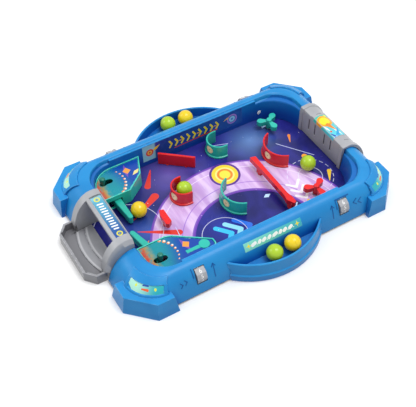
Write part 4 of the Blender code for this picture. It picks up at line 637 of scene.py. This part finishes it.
# The broad pale lane sweeps over the board in one arc, edged in violet.
LANE_CENTRE = (74, 6)
LANES = (
    # colour, radius, half width, softness, strength
    (lane_shade, 88, 21.5, 0.3, 1.0),
    ("#7340b8", 66.5, 1.6, 0.3, 0.9),
    ("#7340b8", 109.5, 1.2, 0.3, 0.9),
    ("#f2e4fb", 101, 0.4, 0.2, 0.8),
    ("#9a6cd0", 78, 0.5, 0.2, 0.8),
)
for colour, radius, half, soft, strength in LANES:
    lane = ring(colour, LANE_CENTRE, half, radius)
    picture = stamp(tree, picture, place, lane, strength, soft)
# The target's discs, from the widest to the smallest.
TARGET_CENTRE = (-19, 22)
TARGET = (
    ("#57308f", 17.0), ("#f3d43a", 14.4), ("#efe98a", 10.6), ("#e88a2e", 8.6), ("#f7e34a", 6.0),
)
shapes = [ring(colour, TARGET_CENTRE, radius) for colour, radius in TARGET]
for step, colour in enumerate(("#38c3f2", "#8fdcf8", "#2d6fe0")):
    shapes += chevron(colour, (54, -26 + 11 * step), 11, 13, 2.7, math.pi / 2)
for step in range(3):
    shapes += chevron("#f4f2fb", (28 + 9 * step, 78), 7.5, 7.5, 1.5)
shapes += [
    bar("#f6a52c", (2, 112), (18, 105), 3.2, 0.5),
    bar("#f3c93a", (34, 122), (46, 114), 2.4, 0.4),
    bar("#f3c93a", (58, 78), (66, 71), 2.0, 0.3),
    bar("#f08a34", (-34, 116), (-24, 111), 1.7, 0.3),
    bar("#e2362c", (-30, -58), (-12, -92), 4.4, 0.5),
    bar("#e2362c", (26, -60), (4, -96), 3.6, 0.4),
    bar("#f0922e", (20, -92), (32, -106), 0.4, 2.4),
    bar("#e2362c", (-66, -44), (-46, -58), 0.6, 3.4),
    bar("#cfd8ff", (-30, 96), (6, 122), 0.35),
    bar("#cfd8ff", (-66, 26), (-58, 50), 0.35),
    bar("#cfd8ff", (18, -60), (58, -66), 0.35),
]
picture = stamp_all(tree, picture, place, shapes)
# The widest thin ring is broken into dashes, counted round its centre.
DASHED_CENTRE, DASHED_RADIUS, DASH_BEATS = (30, 100), 25, 40.0
from_centre = vector_step(tree, "SUBTRACT", place, (*DASHED_CENTRE, 0))[0]
angular = put(tree, "TexGradient", {0: from_centre}, gradient_type="RADIAL")
turns = times(tree, angular.outputs[1], DASH_BEATS)
dashes = remap(tree, reckon(tree, "PINGPONG", turns, 1.0), 0.35, 0.45)
THIN_RINGS = (
    (DASHED_CENTRE, DASHED_RADIUS), (DASHED_CENTRE, 13), ((-2, -104), 36), ((54, -22), 24),
)
for centre, radius in THIN_RINGS:
    picture = stamp(
        tree, picture, place, ring("#e6e9ff", centre, 0.3, radius), 0.85, 0.25,
        dashes if radius == DASHED_RADIUS else None,
    )
for centre, size, turn in (((56, 60), 4.0, 0.3), ((-62, 100), 3.0, 0.7), ((30, 44), 2.6, 0.1)):
    star = lozenge("#bfe2ff", centre, (size, size * 1.7), turn)
    picture = stamp(tree, picture, place, star)
specks = put(tree, "TexVoronoi", {"Vector": place, "Scale": 0.16, "Randomness": 1.0})
chance = put(tree, "SeparateColor", {0: specks.outputs[1]}).outputs[0]
speck_size = reckon(tree, "SUBTRACT", times(tree, chance, 0.09), 0.02)
speck = reckon(tree, "LESS_THAN", specks.outputs[0], speck_size)
picture = blend_colour(tree, times(tree, speck, 0.8), picture, "#eceaff")
# Only the top is printed; the edge and the underside are bare brown hardboard.
picture = blend_colour(tree, remap(tree, upness(tree), 0.5, 0.8), "#6b5a48", picture)
shader = finish_plastic(tree, picture, 0.2, "#b8b0d8", grain_depth=0.000003, wear_and_highlight=0.1)
shader.inputs["Specular IOR Level"].default_value = 0.35
frame["nodes"]["playfield_board"].data.materials[0] = board_print


# Four curved bumpers, the straight guide wall and the two rails.
# Teal and red ABS pushed into holes of the board by short pegs; each bumper has a flange
# round its foot and a pale printed roundel on the side that faces the player.

teal = moulded("teal_abs", "#2cc0ae", "#22b2a0", "#149282", "#9cecdf", 0.22, 0.4, 0.4)
red = moulded("red_abs", "#ea1c20", "#dc171b", "#b81318", "#fa8478", 0.22, 0.4, 0.4)
bumper_mouldings = {}
for colour, material in (("teal", teal), ("red", red)):
    for shape in ("cup", "wide"):
        bumper = take_moulding(f"{shape}_bumper_{colour}", 0.0003)
        dress(bumper, material)
        bumper_mouldings[shape, colour] = bumper
for node in ("guide_wall", "long_rail", "short_rail"):
    dress(take_moulding(node), red)


def film_place(tree, width, height):
    """The film's own map in millimetres from its middle."""
    spread = put(tree, "TexCoord").outputs["UV"]
    size, corner = (width, height, 0.0), (-width / 2, -height / 2, 0.0)
    return vector_step(tree, "MULTIPLY_ADD", spread, size, corner)[0]


ROUNDEL_WIDTH, ROUNDEL_THICK, ROUNDEL_LIFT = 9.0, 0.12, 4
ROUNDELS = (
    # bumper, place on its outside, direction that it faces, colours of the two rings
    (("cup", "teal"), (-51.8, 22.4, 15.2), (0.33, -0.94, 0), "#e88a2e", "#f3b84a"),
    (("cup", "red"), (-11.7, -45.0, 15.2), (0.33, -0.94, 0), "#d8342c", "#f3c24a"),
    (("wide", "teal"), (24.0, -3.4, 15.2), (0.27, -0.96, 0), "#d8542c", "#e88a2e"),
    (("wide", "red"), (-12.0, 71.8, 15.2), (0.09, -1.0, 0), "#b3161c", "#d0161b"),
)
for bumper, spot, facing, outer_ink, inner_ink in ROUNDELS:
    label = "_".join(bumper)
    roundel_print, tree = new_material(f"roundel_print_{label}")
    place = film_place(tree, ROUNDEL_WIDTH, ROUNDEL_WIDTH)
    shapes = [ring(outer_ink, (0, 0), 0.12, 3.8), ring(inner_ink, (0, 0), 0.7)]
    for turn in (0.0, math.pi / 2):
        shapes.append(lozenge(outer_ink, (0, 0), (2.0, 0.26), turn + 0.5))
    picture = stamp_all(tree, "#fff6b4", place, shapes, 0.12)
    finish_plastic(tree, picture, 0.3, "#fbf8ea", grain_depth=0.00001, wear_and_highlight=0.3)
    deselect()
    bpy.ops.mesh.primitive_circle_add(
        vertices=40, radius=ROUNDEL_WIDTH / 2 * MM, fill_type="TRIFAN",
        location=(Vector(spot) + ROUNDEL_LIFT * Vector(facing)) * MM,
        rotation=facing_turn(Vector((-facing[1], facing[0], 0)), facing),
    )
    roundel = bpy.context.object
    work_in("EDIT")
    bpy.ops.mesh.subdivide(number_cuts=3)
    work_in("OBJECT")
    press_down(roundel, bumper_mouldings[bumper], ROUNDEL_THICK)
    roundel.name = f"roundel_{label}"
    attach(roundel, "game")
    dress(roundel, roundel_print)


# Two spinners on their pins.
# Three-bladed ABS wheels that turn freely on a steel pin pressed into the board.

for colour, material in (("teal", teal), ("red", red)):
    dress(take_moulding("spinner_" + colour, steps=3), material)
    frame["nodes"][f"spinner_{colour}_pin"].data.materials[0] = zinc


# Flippers, their pins, the housings with printed lids and the finger pegs.
# Teal ABS. The lid is printed before it is pressed into the housing; the peg rises
# through the arc slot of the lid and is pressed onto the lever of the flipper.

teal_dark = moulded("teal_abs_dark", "#12806c", "#0e6f5e", "#084c40", "#5cc4b2", rough=0.28)
# Painted light: the housing is a lighter copy of the teal for its shaded sides, with a strong
# painted highlight along its rim.
housing_teal_lit = moulded(
    "housing_teal_lit", "#3ad4c2", "#30c8b6", "#22b8a8", "#a8f0e6", 0.22, 0.9, 0.4, 0.0014
)

LID_TOP = 0.00175


def lid_picture(side):
    """The print of one lid: a field from sea green to blue, beads, a warm end, lozenges."""
    material, tree = new_material(f"lid_print_{side}")
    place = flat_place(tree)
    sign = 1 if side == "right" else -1
    parts = split(tree, place)
    outward = times(tree, parts[0], sign)
    slant = reckon(tree, "ADD", parts[1], times(tree, outward, 0.25))
    picture = blend_colour(tree, remap(tree, slant, -84, -58), "#0e92a0", "#0c45a6")
    mottle = noise(tree, place, 0.22, 3.0)
    warm = times(tree, remap(tree, parts[1], -99, -108), remap(tree, mottle, 0.25, 0.6))
    picture = blend_colour(tree, warm, picture, "#b8a04a")
    hot = times(tree, remap(tree, parts[1], -104, -110), remap(tree, mottle, 0.3, 0.55))
    picture = blend_colour(tree, hot, picture, "#c8453a")
    shapes = []
    for step in range(9):
        angle = math.radians(150 - 11 * step)
        bead = (sign * (56 + 24 * math.cos(angle)), -107 + 27 * math.sin(angle))
        size = 2.1 - 0.17 * step
        shapes.append(ring("#e8873c", bead, size))
        shapes.append(ring("#f6efe2", (bead[0] - 0.4 * sign, bead[1] + 0.5), size * 0.66))
    shift_x, shift_y = (8, -4) if side == "left" else (0, 0)
    motifs = (
        ("#7a4fb0", (55, -70), (9.5, 2.6), 0.2),
        ("#ef9f45", (55, -69), (4.6, 4.4), 0.2),
        ("#f2dc8c", (49, -61), (2.2, 6.0), -0.5),
    )
    for colour, (x, y), size, turn in motifs:
        centre = (sign * (x + shift_x), y + shift_y)
        shapes.append(lozenge(colour, centre, size, sign * turn))
    picture = stamp_all(tree, picture, place, shapes)
    # Only the flat top is printed, not the raised lip round it.
    level = split(tree, object_place(tree))[2]
    flat = reckon(tree, "LESS_THAN", level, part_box(f"housing_lid_{side}")[0][2] + LID_TOP)
    printed = times(tree, remap(tree, upness(tree), 0.5, 0.8), flat)
    picture = blend_colour(tree, printed, "#2cc0ae", picture)
    # A strong painted highlight pales the raised lip of the lid.
    shader = finish_plastic(
        tree, picture, 0.22, "#4ad2c2", grain_depth=0.00001, wear_and_highlight=1.0, edge=0.0015
    )
    shader.inputs["Specular IOR Level"].default_value = 0.35
    return material


for side in ("right", "left"):
    dress(take_moulding(f"flipper_housing_{side}"), housing_teal_lit)
    dress(take_moulding(f"housing_lid_{side}", 0.0003), lid_picture(side))
    dress(take_moulding(f"flipper_{side}", 0.0005), teal)
    dress(take_moulding(f"finger_peg_{side}", 0.0003), teal_dark)
    frame["nodes"][f"pivot_pin_{side}"].data.materials[0] = zinc


# Ball return: the arch with its label bar, and the open tray.
# Grey satin ABS; the stepped chute rolls the ball out under the bar.

grey = moulded("grey_abs", "#adafb4", "#a2a4a9", "#68686e", "#d8dadd", 0.3, 0.6)
# The tray's strong pale edges are a painted highlight on its rims and chute steps.
tray_grey = moulded("tray_abs", "#98999e", "#8e8f94", "#66656b", "#d0d1d5", 0.3, 0.9, 0.5, 0.0014)
# The pan is in the shade of its walls, and light catches the round edge of each chute step.
STEP_EDGES = (-145.4, -155.3)
STEP_RADIUS = 76.2
STEP_CENTRE_BEHIND = 78.0
CHUTE_HALF_WIDTH = 0.0286
tree = tray_grey.node_tree
place = flat_place(tree)
parts = split(tree, object_place(tree))
pan = remap(tree, parts[2], 0.0036, 0.0032)
picture = blend_colour(tree, times(tree, pan, 0.75), colour_of(tree), "#77777c")
chute = reckon(tree, "LESS_THAN", reckon(tree, "ABSOLUTE", parts[0]), CHUTE_HALF_WIDTH)
chute = times(tree, chute, remap(tree, parts[2], 0.0034, 0.0037))
for front_edge in STEP_EDGES:
    light = ring("#d2d3d7", (0, front_edge + STEP_CENTRE_BEHIND), 0.8, STEP_RADIUS)
    picture = stamp(tree, picture, place, light, 0.6, 0.8, chute)
colour_with(tree, picture)

arch_moulding = take_moulding("return_arch", 0.0006, steps=3)
dress(arch_moulding, grey)

SHELF_INNER_X, SHELF_FRONT_Y = 28.7, -147.5
SHELF_LOWEST, SHELF_HIGHEST = 4.8, 5.6
PAN_FLOOR = 3.0


def level_pan(piece):
    """Bring the two small shelves beside the chute down to the floor of the pan."""
    for vertex in piece.data.vertices:
        x, y, z = vertex.co / MM
        beside = abs(x) > SHELF_INNER_X and y < SHELF_FRONT_Y
        if beside and SHELF_LOWEST < z < SHELF_HIGHEST:
            vertex.co.z = PAN_FLOOR * MM
    work_in("EDIT")
    bpy.ops.mesh.select_all(action="SELECT")
    bpy.ops.mesh.remove_doubles(threshold=0.00002)
    work_in("OBJECT")


dress(take_moulding("return_tray", merge=0, rework=level_pan), tray_grey)


# Back grip.
# A grey satin ABS saddle, moulded in one with a collar at each end and clipped over the
# back wall. Two fine dark strips on its top beside the label are painted shade, standing
# for two short grooves.

grip_moulding = take_moulding("back_grip", 0.0006, steps=3)
dress(grip_moulding, grey)
# Painted shade: two dark strips where two short grooves would throw shade.
groove_shade_grey = moulded("groove_shade_grey", "#5d5e63", "#525358", "#3a3a3e", "#8d8e93", rough=0.5)
GRIP_TOP = 44.0
UP = (0, 0, 1)
lines = []
for place_x, place_y in ((-18.6, 142.6), (28.0, 145.4)):
    centre = (place_x, place_y, GRIP_TOP)
    lines.append(lay_film("line", grip_moulding, centre, (0, 1, 0), UP, (7.0, 0.5), (12, 1), 0.06))
grip_groove_shades = join_pieces("grip_groove_shades", lines)
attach(grip_groove_shades, "game")
dress(grip_groove_shades, groove_shade_grey)


# Score drums.
# Ten-sided grey ABS wheels, snapped onto the stub shafts of brackets behind the windows
# of the frame, with a plain white number printed on each face.

digit_white = moulded("digit_ink", "#f4f5f6", "#e9ebec", "#c9ccd0", "#ffffff", rough=0.4)
DIGIT_SIZE = 0.00588
DIGIT_DEPTH, DIGIT_STROKE, DIGIT_LIFT = 0.00005, 0.00008, 0.00006
LEAST_FACE_AREA = 0.00003
for side, sign in SIDES:
    for end in ("front", "back"):
        node = f"score_drum_{side}_{end}"
        body = frame["nodes"][node]["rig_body"]
        drum = take_moulding(node, 0.0003)
        dress(drum, grey)
        frame["nodes"][f"drum_bracket_{side}_{end}"].data.materials[0] = grey
        low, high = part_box(node)
        axis = (low + high) / 2
        faces = [
            face for face in drum.data.polygons
            if face.area > LEAST_FACE_AREA and abs(face.normal.y) < 0.1
        ]
        faces.sort(key=lambda face: math.atan2(face.normal.z, sign * face.normal.x))
        digits = []
        for count, face in enumerate(faces):
            deselect()
            bpy.ops.object.text_add()
            digit = bpy.context.object
            digit.data.body = str(count % 10)
            digit.data.align_x = "CENTER"
            digit.data.align_y = "CENTER"
            digit.data.size = DIGIT_SIZE
            digit.data.extrude = DIGIT_DEPTH
            digit.data.offset = DIGIT_STROKE
            bpy.ops.object.convert(target="MESH")
            digit.location = face.center + face.normal * DIGIT_LIFT
            digit.location.y = axis.y
            digit.rotation_euler = facing_turn((0, sign, 0), face.normal)
            fix_place()
            digits.append(digit)
        numbers = join_pieces(f"score_numbers_{side}_{end}", digits)
        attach(numbers, body)
        dress(numbers, digit_white)


# Printed films.
# Gloss-laminated paper labels, stuck on by hand: one in the bed of each badge, a band
# over each ball pocket, a strip on each long inner wall, one on the bar, one on the grip.

FILM_SOFT = 0.15


def finish_film(tree, picture, worn_and_lit_colour, rough=0.2):
    """The gloss of a laminated paper label, its edges paled a little by rubbing
    and by a painted highlight.
    """
    finish_plastic(tree, picture, rough, worn_and_lit_colour, grain_depth=0.000004, wear_and_highlight=0.3)


def print_film(name, width, height, paper):
    """A film's material, its map in millimetres, and its paper from one end to the other."""
    material, tree = new_material(name)
    place = film_place(tree, width, height)
    share = remap(tree, split(tree, place)[0], -width / 2, width / 2)
    picture = blend_colour(tree, share, paper[0], paper[1])
    return material, tree, place, picture


def stick_film(name, surface, centre, along, facing, size, cuts, ink):
    """Stick one printed film on a moulding of the game."""
    film = lay_film(name, surface, centre, along, facing, size, cuts)
    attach(film, "game")
    dress(film, ink)


# A place on each badge's bed, how alike the faces of one bed lean, and the print's middle.
BADGE_CORNERS = {"front": (84.2, -128.8, 27.8), "back": (84.2, 145.7, 27.8)}
BED_BEND = 0.93
BADGE_MIDDLES = {"front": (84.0, -129.0), "back": (83.8, 146.4)}
for end, sign_y in (("front", -1), ("back", 1)):
    badge_print, tree = new_material(f"badge_print_{end}")
    parts = split(tree, flat_place(tree))
    middle_x, middle_y = BADGE_MIDDLES[end]
    outward = reckon(tree, "SUBTRACT", reckon(tree, "ABSOLUTE", parts[0]), middle_x)
    endward = times(tree, reckon(tree, "SUBTRACT", parts[1], middle_y), sign_y)
    place = put(tree, "CombineXYZ", {0: outward, 1: endward}).outputs[0]
    lean = reckon(tree, "SUBTRACT", outward, endward)
    picture = blend_colour(tree, remap(tree, lean, -15, 17), "#b4f0da", "#18b4c0")
    shapes = [
        ring("#e4f04a", (-7.4, 5.6), 1.1),
        ring("#e4f04a", (6.6, -7.2), 1.1),
        bar("#1b4fae", (-2.6, 0.8), (1.0, -2.8), 0.6),
        bar("#f0642c", (-1.0, 3.2), (3.2, -0.8), 0.6, 1.0),
    ]
    picture = stamp_all(tree, picture, place, shapes, FILM_SOFT)
    finish_film(tree, picture, "#d8f4ee", 0.16)
    for side, sign_x in SIDES:
        film = copy_node(f"corner_foot_{side}_{end}", f"badge_film_{side}_{end}")
        bpy.ops.mesh.select_all(action="DESELECT")
        work_in("OBJECT")
        bed_x, bed_y, bed_z = BADGE_CORNERS[end]
        bed_point = Vector((sign_x * bed_x, bed_y, bed_z)) * MM
        faces = film.data.polygons
        by_edge = {}
        for face in faces:
            for key in face.edge_keys:
                by_edge.setdefault(key, []).append(face.index)
        first = min(faces, key=lambda face: (face.center - bed_point).length)
        bed = {first.index}
        waiting = [first.index]
        while waiting:
            face = faces[waiting.pop()]
            for key in face.edge_keys:
                for other in by_edge[key]:
                    if other not in bed and face.normal.dot(faces[other].normal) > BED_BEND:
                        bed.add(other)
                        waiting.append(other)
        for face in faces:
            face.select = face.index not in bed
        work_in("EDIT")
        bpy.ops.mesh.delete(type="FACE")
        bpy.ops.mesh.select_all(action="SELECT")
        bpy.ops.mesh.subdivide(number_cuts=1)
        work_in("OBJECT")
        apply_modifier(film, "SOLIDIFY", thickness=0.00012, offset=1.0)
        bpy.ops.object.shade_smooth_by_angle(angle=math.radians(30))
        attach(film, "game")
        dress(film, badge_print)

BAND_SIZE = (67.0, 9.0)
band_print, tree, place, picture = print_film("band_print", *BAND_SIZE, ("#7fdcc8", "#35b4c2"))
shapes = []
for end_sign in (-1, 1):
    for turn in (0.0, math.pi / 2):
        shapes.append(lozenge("#f6e62c", (28.5 * end_sign, 0.2), (3.0, 0.9), turn))
BAND_BARS = (
    # middle and length
    (-22.6, 4.6), (-15.8, 2.4), (-10.6, 3.2), (-4.4, 2.6), (2.2, 4.4), (8.6, 2.4), (13.8, 3.2),
    (20.4, 3.6),
)
for middle, length in BAND_BARS:
    lean = length / 2 - 0.6
    shapes.append(bar("#f6fbfb", (middle - lean, -0.5), (middle + lean, 0.5), 1.7))
    shapes.append(ring("#f6fbfb", (middle + length / 2 + 1.6, -1.4), 0.5))
picture = stamp_all(tree, picture, place, shapes, FILM_SOFT)
finish_film(tree, picture, "#d8f4f4", 0.18)
for side, sign in SIDES:
    stick_film(
        f"band_film_{side}", frame_moulding, (sign * 95.5, 8.5, 29.6), (0, sign, 0),
        (sign * 0.801, 0, 0.598), BAND_SIZE, (48, 10), band_print,
    )

STRIP_SIZE = (126.0, 20.5)
strip_print, tree, place, picture = print_film("strip_print", *STRIP_SIZE, ("#1c3f96", "#17509f"))
mist = remap(tree, noise(tree, place, 0.12, 3.0), 0.5, 0.8)
picture = blend_colour(tree, mist, picture, "#2c62b8")
pale_end = remap(tree, split(tree, place)[0], -46.5, -49.0)
picture = blend_colour(tree, pale_end, picture, "#8fc9d6")
shapes = [
    lozenge("#f0c63c", (-47, 3), (6.5, 1.7), 0.5),
    ring("#d5402f", (-54.5, 0), 4.6),
    ring("#f2b23c", (-54.5, 0), 2.9),
    ring("#b2342c", (-54.5, 0), 1.1),
    bar("#d5402f", (-24, -7.2), (30, -5.6), 0.5, 0.9),
    ring("#9f7fd0", (50, 0), 0.9, 5.6),
    ring("#8fd0ec", (50, 0), 3.9),
    ring("#4a86d4", (50, 0), 1.5),
    bar("#f0c63c", (39, 1), (44.5, 3.2), 0.2, 0.9),
]
for step in range(9):
    middle = -30 + 7.4 * step
    shapes += chevron("#f4e22a", (middle, 0), 2.7, 4.2, 1.05)
    if step % 3 == 2:
        shapes.append(bar("#f0a52c", (middle - 1.8, 0), (middle + 0.6, 0), 0.8, 0.4))
picture = stamp_all(tree, picture, place, shapes, FILM_SOFT)
finish_film(tree, picture, "#8fa6dc")
for side, sign in SIDES:
    stick_film(
        f"strip_film_{side}", frame_moulding, (sign * 73.5, 16.0, 21.5), (0, -sign, 0),
        (-sign, 0, 0), STRIP_SIZE, (60, 30), strip_print,
    )

BAR_SIZE = (58.6, 11.2)
bar_print, tree, place, picture = print_film("bar_print", *BAR_SIZE, ("#58aecb", "#174f9f"))
pale_end = remap(tree, split(tree, place)[0], -21.0, -30.0)
picture = blend_colour(tree, pale_end, picture, "#8fcbdd")
shapes = []
for end_sign in (-1, 1):
    shapes.append(ring("#e9e23c", (25.0 * end_sign, 0), 0.6, 2.5))
    shapes.append(ring("#7f9aa0", (25.0 * end_sign, 0), 1.1))
for step in range(11):
    middle = -18.0 + 3.6 * step
    tall = (2.6, 1.9, 2.3)[step % 3]
    shapes.append(bar("#f7fafc", (middle - 0.3, -tall), (middle + 0.3, tall), 0.85))
picture = stamp_all(tree, picture, place, shapes, FILM_SOFT)
finish_film(tree, picture, "#d4e8f4")
BAR_MIDDLE = (0, -124.0, 45.0)
stick_film("bar_film", arch_moulding, BAR_MIDDLE, (1, 0, 0), UP, BAR_SIZE, (24, 6), bar_print)

GRIP_SIZE = (36.0, 16.0)
grip_print, tree, place, picture = print_film("grip_print", *GRIP_SIZE, ("#42c4b4", "#5fd4e6"))
shapes = [
    ring("#f9e62a", (-8.0, -0.5), 6.2),
    ring("#f6a81e", (-8.0, -0.5), 1.3, 7.2),
    bar("#f08a28", (-1, -1), (9, 2.2), 2.6, 0.6),
    lozenge("#eef8fa", (12.5, 2.5), (7.0, 1.3), 0.35),
    lozenge("#eef8fa", (3.0, -5.4), (6.0, 1.1), 0.2),
    bar("#2a9fd8", (5, 7), (17, -1), 0.6, 1.8),
    ring("#d8e83c", (-15.6, 5.0), 1.8),
    ring("#e8503c", (9.0, -4.2), 1.2),
    bar("#3a4fae", (12, -6.2), (17, -4.4), 0.5, 1.2),
]
picture = stamp_all(tree, picture, place, shapes, FILM_SOFT)
finish_film(tree, picture, "#e4f4f4")
label_place = (2.5, 141.2, GRIP_TOP)
stick_film(
    "grip_film", grip_moulding, label_place, (1, 0, 0), UP, GRIP_SIZE, (36, 24), grip_print
)


# Seven hollow balls, 17 mm across.
# Two halves of coloured polypropylene welded at the middle, which leaves a fine seam.

SEAM_SHADE = 0.62


def ball_plastic(name, colour, deep):
    """Glossy polypropylene with the fine weld seam round the middle of the ball."""
    material = moulded(name, colour, deep, deep, colour, rough=0.2, wear_and_highlight=0.0)
    tree = material.node_tree
    shader = tree.nodes["Principled BSDF"]
    height = split(tree, put(tree, "TexCoord").outputs["UV"])[1]
    off_seam = reckon(tree, "ABSOLUTE", reckon(tree, "SUBTRACT", height, 0.5))
    seam = remap(tree, off_seam, 0.009, 0.003)
    shade = (*(SEAM_SHADE * channel for channel in paint(deep)[:3]), 1.0)
    colour_with(tree, blend_colour(tree, times(tree, seam, 0.7), colour_of(tree), shade))
    groove = put(tree, "Bump", {"Strength": 0.5, "Distance": 0.0002, "Height": seam}, invert=True)
    tree.links.new(shader.inputs["Normal"].links[0].from_socket, groove.inputs["Normal"])
    tree.links.new(groove.outputs[0], shader.inputs["Normal"])
    return material


lime = ball_plastic("lime_pp", "#b4d62c", "#a5c922")
yellow = ball_plastic("yellow_pp", "#f7d81c", "#eecb12")
BALLS = {
    # plastic, and how far the ball has rolled over in radians
    "ball_upper": (lime, 0.5),
    "ball_in_cup": (lime, 1.4),
    "ball_lower": (yellow, 2.3),
    "ball_right_green": (lime, 0.8),
    "ball_right_yellow": (yellow, 1.7),
    "ball_left_green": (lime, 2.6),
    "ball_left_yellow": (yellow, 1.1),
}
for node, (material, roll) in BALLS.items():
    low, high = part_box(node)
    deselect()
    bpy.ops.mesh.primitive_uv_sphere_add(
        segments=64, ring_count=33, radius=(high.z - low.z) / 2, location=(low + high) / 2,
        rotation=(roll, 0.4, 0),
    )
    ball = bpy.context.object
    ball.name = node + "_shell"
    fix_place()
    bpy.ops.object.shade_smooth()
    body = frame["nodes"][node]["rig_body"]
    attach(ball, body)
    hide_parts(node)
    dress(ball, material)


# The set.
# A pale studio floor, a soft light from above, and the camera of the photograph.

FLOOR_DROP = 0.0002
deselect()
bpy.ops.mesh.primitive_plane_add(size=8.0, location=(0, 0, -FLOOR_DROP))
floor = bpy.context.object
floor.name = "floor"
floor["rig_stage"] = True
floor_white, tree = new_material("floor_white")
shader = tree.nodes["Principled BSDF"]
mottle = noise(tree, object_place(tree), 30.0, 2.0)


def ray_kinds(tree):
    """What kind of ray asks, and whether the eye sees by it."""
    ray = put(tree, "LightPath").outputs
    through = reckon(tree, "MAXIMUM", ray["Is Glossy Ray"], ray["Is Transmission Ray"])
    return ray, reckon(tree, "MAXIMUM", ray["Is Camera Ray"], through)


ray, seen = ray_kinds(tree)
pale = blend_colour(tree, mottle, "#fafafa", "#fcfcfc")
colour_with(tree, blend_colour(tree, seen, "#b4b5b8", pale))
shader.inputs["Roughness"].default_value = 0.9
shader.inputs["Specular IOR Level"].default_value = 0.1
clear = put(tree, "BsdfTransparent")
from_below = put(tree, "NewGeometry").outputs["Backfacing"]
# Short bounced rays pass the floor too, so the underside isn't black from below.
BOUNCE_REACH = 0.008
short = reckon(tree, "LESS_THAN", ray["Ray Length"], BOUNCE_REACH)
returned = reckon(tree, "MAXIMUM", ray["Is Diffuse Ray"], ray["Is Glossy Ray"])
bounced = times(tree, returned, short)
passing = reckon(tree, "MAXIMUM", from_below, bounced)
either = put(tree, "MixShader", {0: passing, 1: shader.outputs[0], 2: clear.outputs[0]})
tree.links.new(either.outputs[0], tree.nodes["Material Output"].inputs["Surface"])
floor.data.materials.append(floor_white)

world = bpy.data.worlds.new("studio")
bpy.context.scene.world = world
world.use_nodes = True
tree = world.node_tree
seen = ray_kinds(tree)[1]
background = tree.nodes["Background"]
background.inputs["Color"].default_value = (1, 1, 1, 1)
sky = split(tree, put(tree, "TexCoord").outputs["Generated"])[2]
# The sky grows brighter from the horizon to the top, and below the horizon it lights the
# underside of the game.
dome = remap(tree, sky, 0.0, 0.95, 0.22, 0.92)
below = times(tree, reckon(tree, "LESS_THAN", sky, -0.01), 0.6)
strength = put(tree, "Mix", {0: seen, 2: reckon(tree, "ADD", dome, below), 3: 1.0})
tree.links.new(strength.outputs[0], background.inputs["Strength"])

LAMPS = (
    # name, strength, softness in degrees, tilt about X and Y in degrees
    ("overhead", 1.45, 30, -14, 8),
    ("far_left", 0.45, 20, 42, -38),
)
for name, energy, softness, tilt_x, tilt_y in LAMPS:
    lamp_data = bpy.data.lights.new(name, "SUN")
    lamp_data.energy = energy
    lamp_data.angle = math.radians(softness)
    lamp = bpy.data.objects.new(name, lamp_data)
    bpy.context.scene.collection.objects.link(lamp)
    lamp.rotation_euler = (math.radians(tilt_x), math.radians(tilt_y), 0)

# Turn and rise are seen from the target; the focal length is in pixels of the photograph.
CAMERA_TURN = math.radians(59.0)
CAMERA_RISE = math.radians(48.3)
CAMERA_DISTANCE = 0.8801
CAMERA_TARGET = Vector((0.0033, -0.0126, 0.0))
FOCAL_PIXELS = 835.2
PICTURE_WIDTH = 416
SENSOR_WIDTH = 36.0
back = Vector((
    math.sin(CAMERA_TURN) * math.cos(CAMERA_RISE),
    -math.cos(CAMERA_TURN) * math.cos(CAMERA_RISE),
    math.sin(CAMERA_RISE),
))
camera_data = bpy.data.cameras.new("camera")
camera_data.sensor_fit = "HORIZONTAL"
camera_data.sensor_width = SENSOR_WIDTH
camera_data.lens = FOCAL_PIXELS / PICTURE_WIDTH * SENSOR_WIDTH
camera_data.clip_start = 0.01
camera_data.clip_end = 20.0
camera = bpy.data.objects.new("camera", camera_data)
bpy.context.scene.collection.objects.link(camera)
camera.location = CAMERA_TARGET + back * CAMERA_DISTANCE
camera.rotation_euler = (-back).to_track_quat("-Z", "Y").to_euler()
bpy.context.scene.camera = camera
bpy.context.scene.view_settings.view_transform = "Standard"

bpy.context.view_layer.update()
low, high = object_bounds()
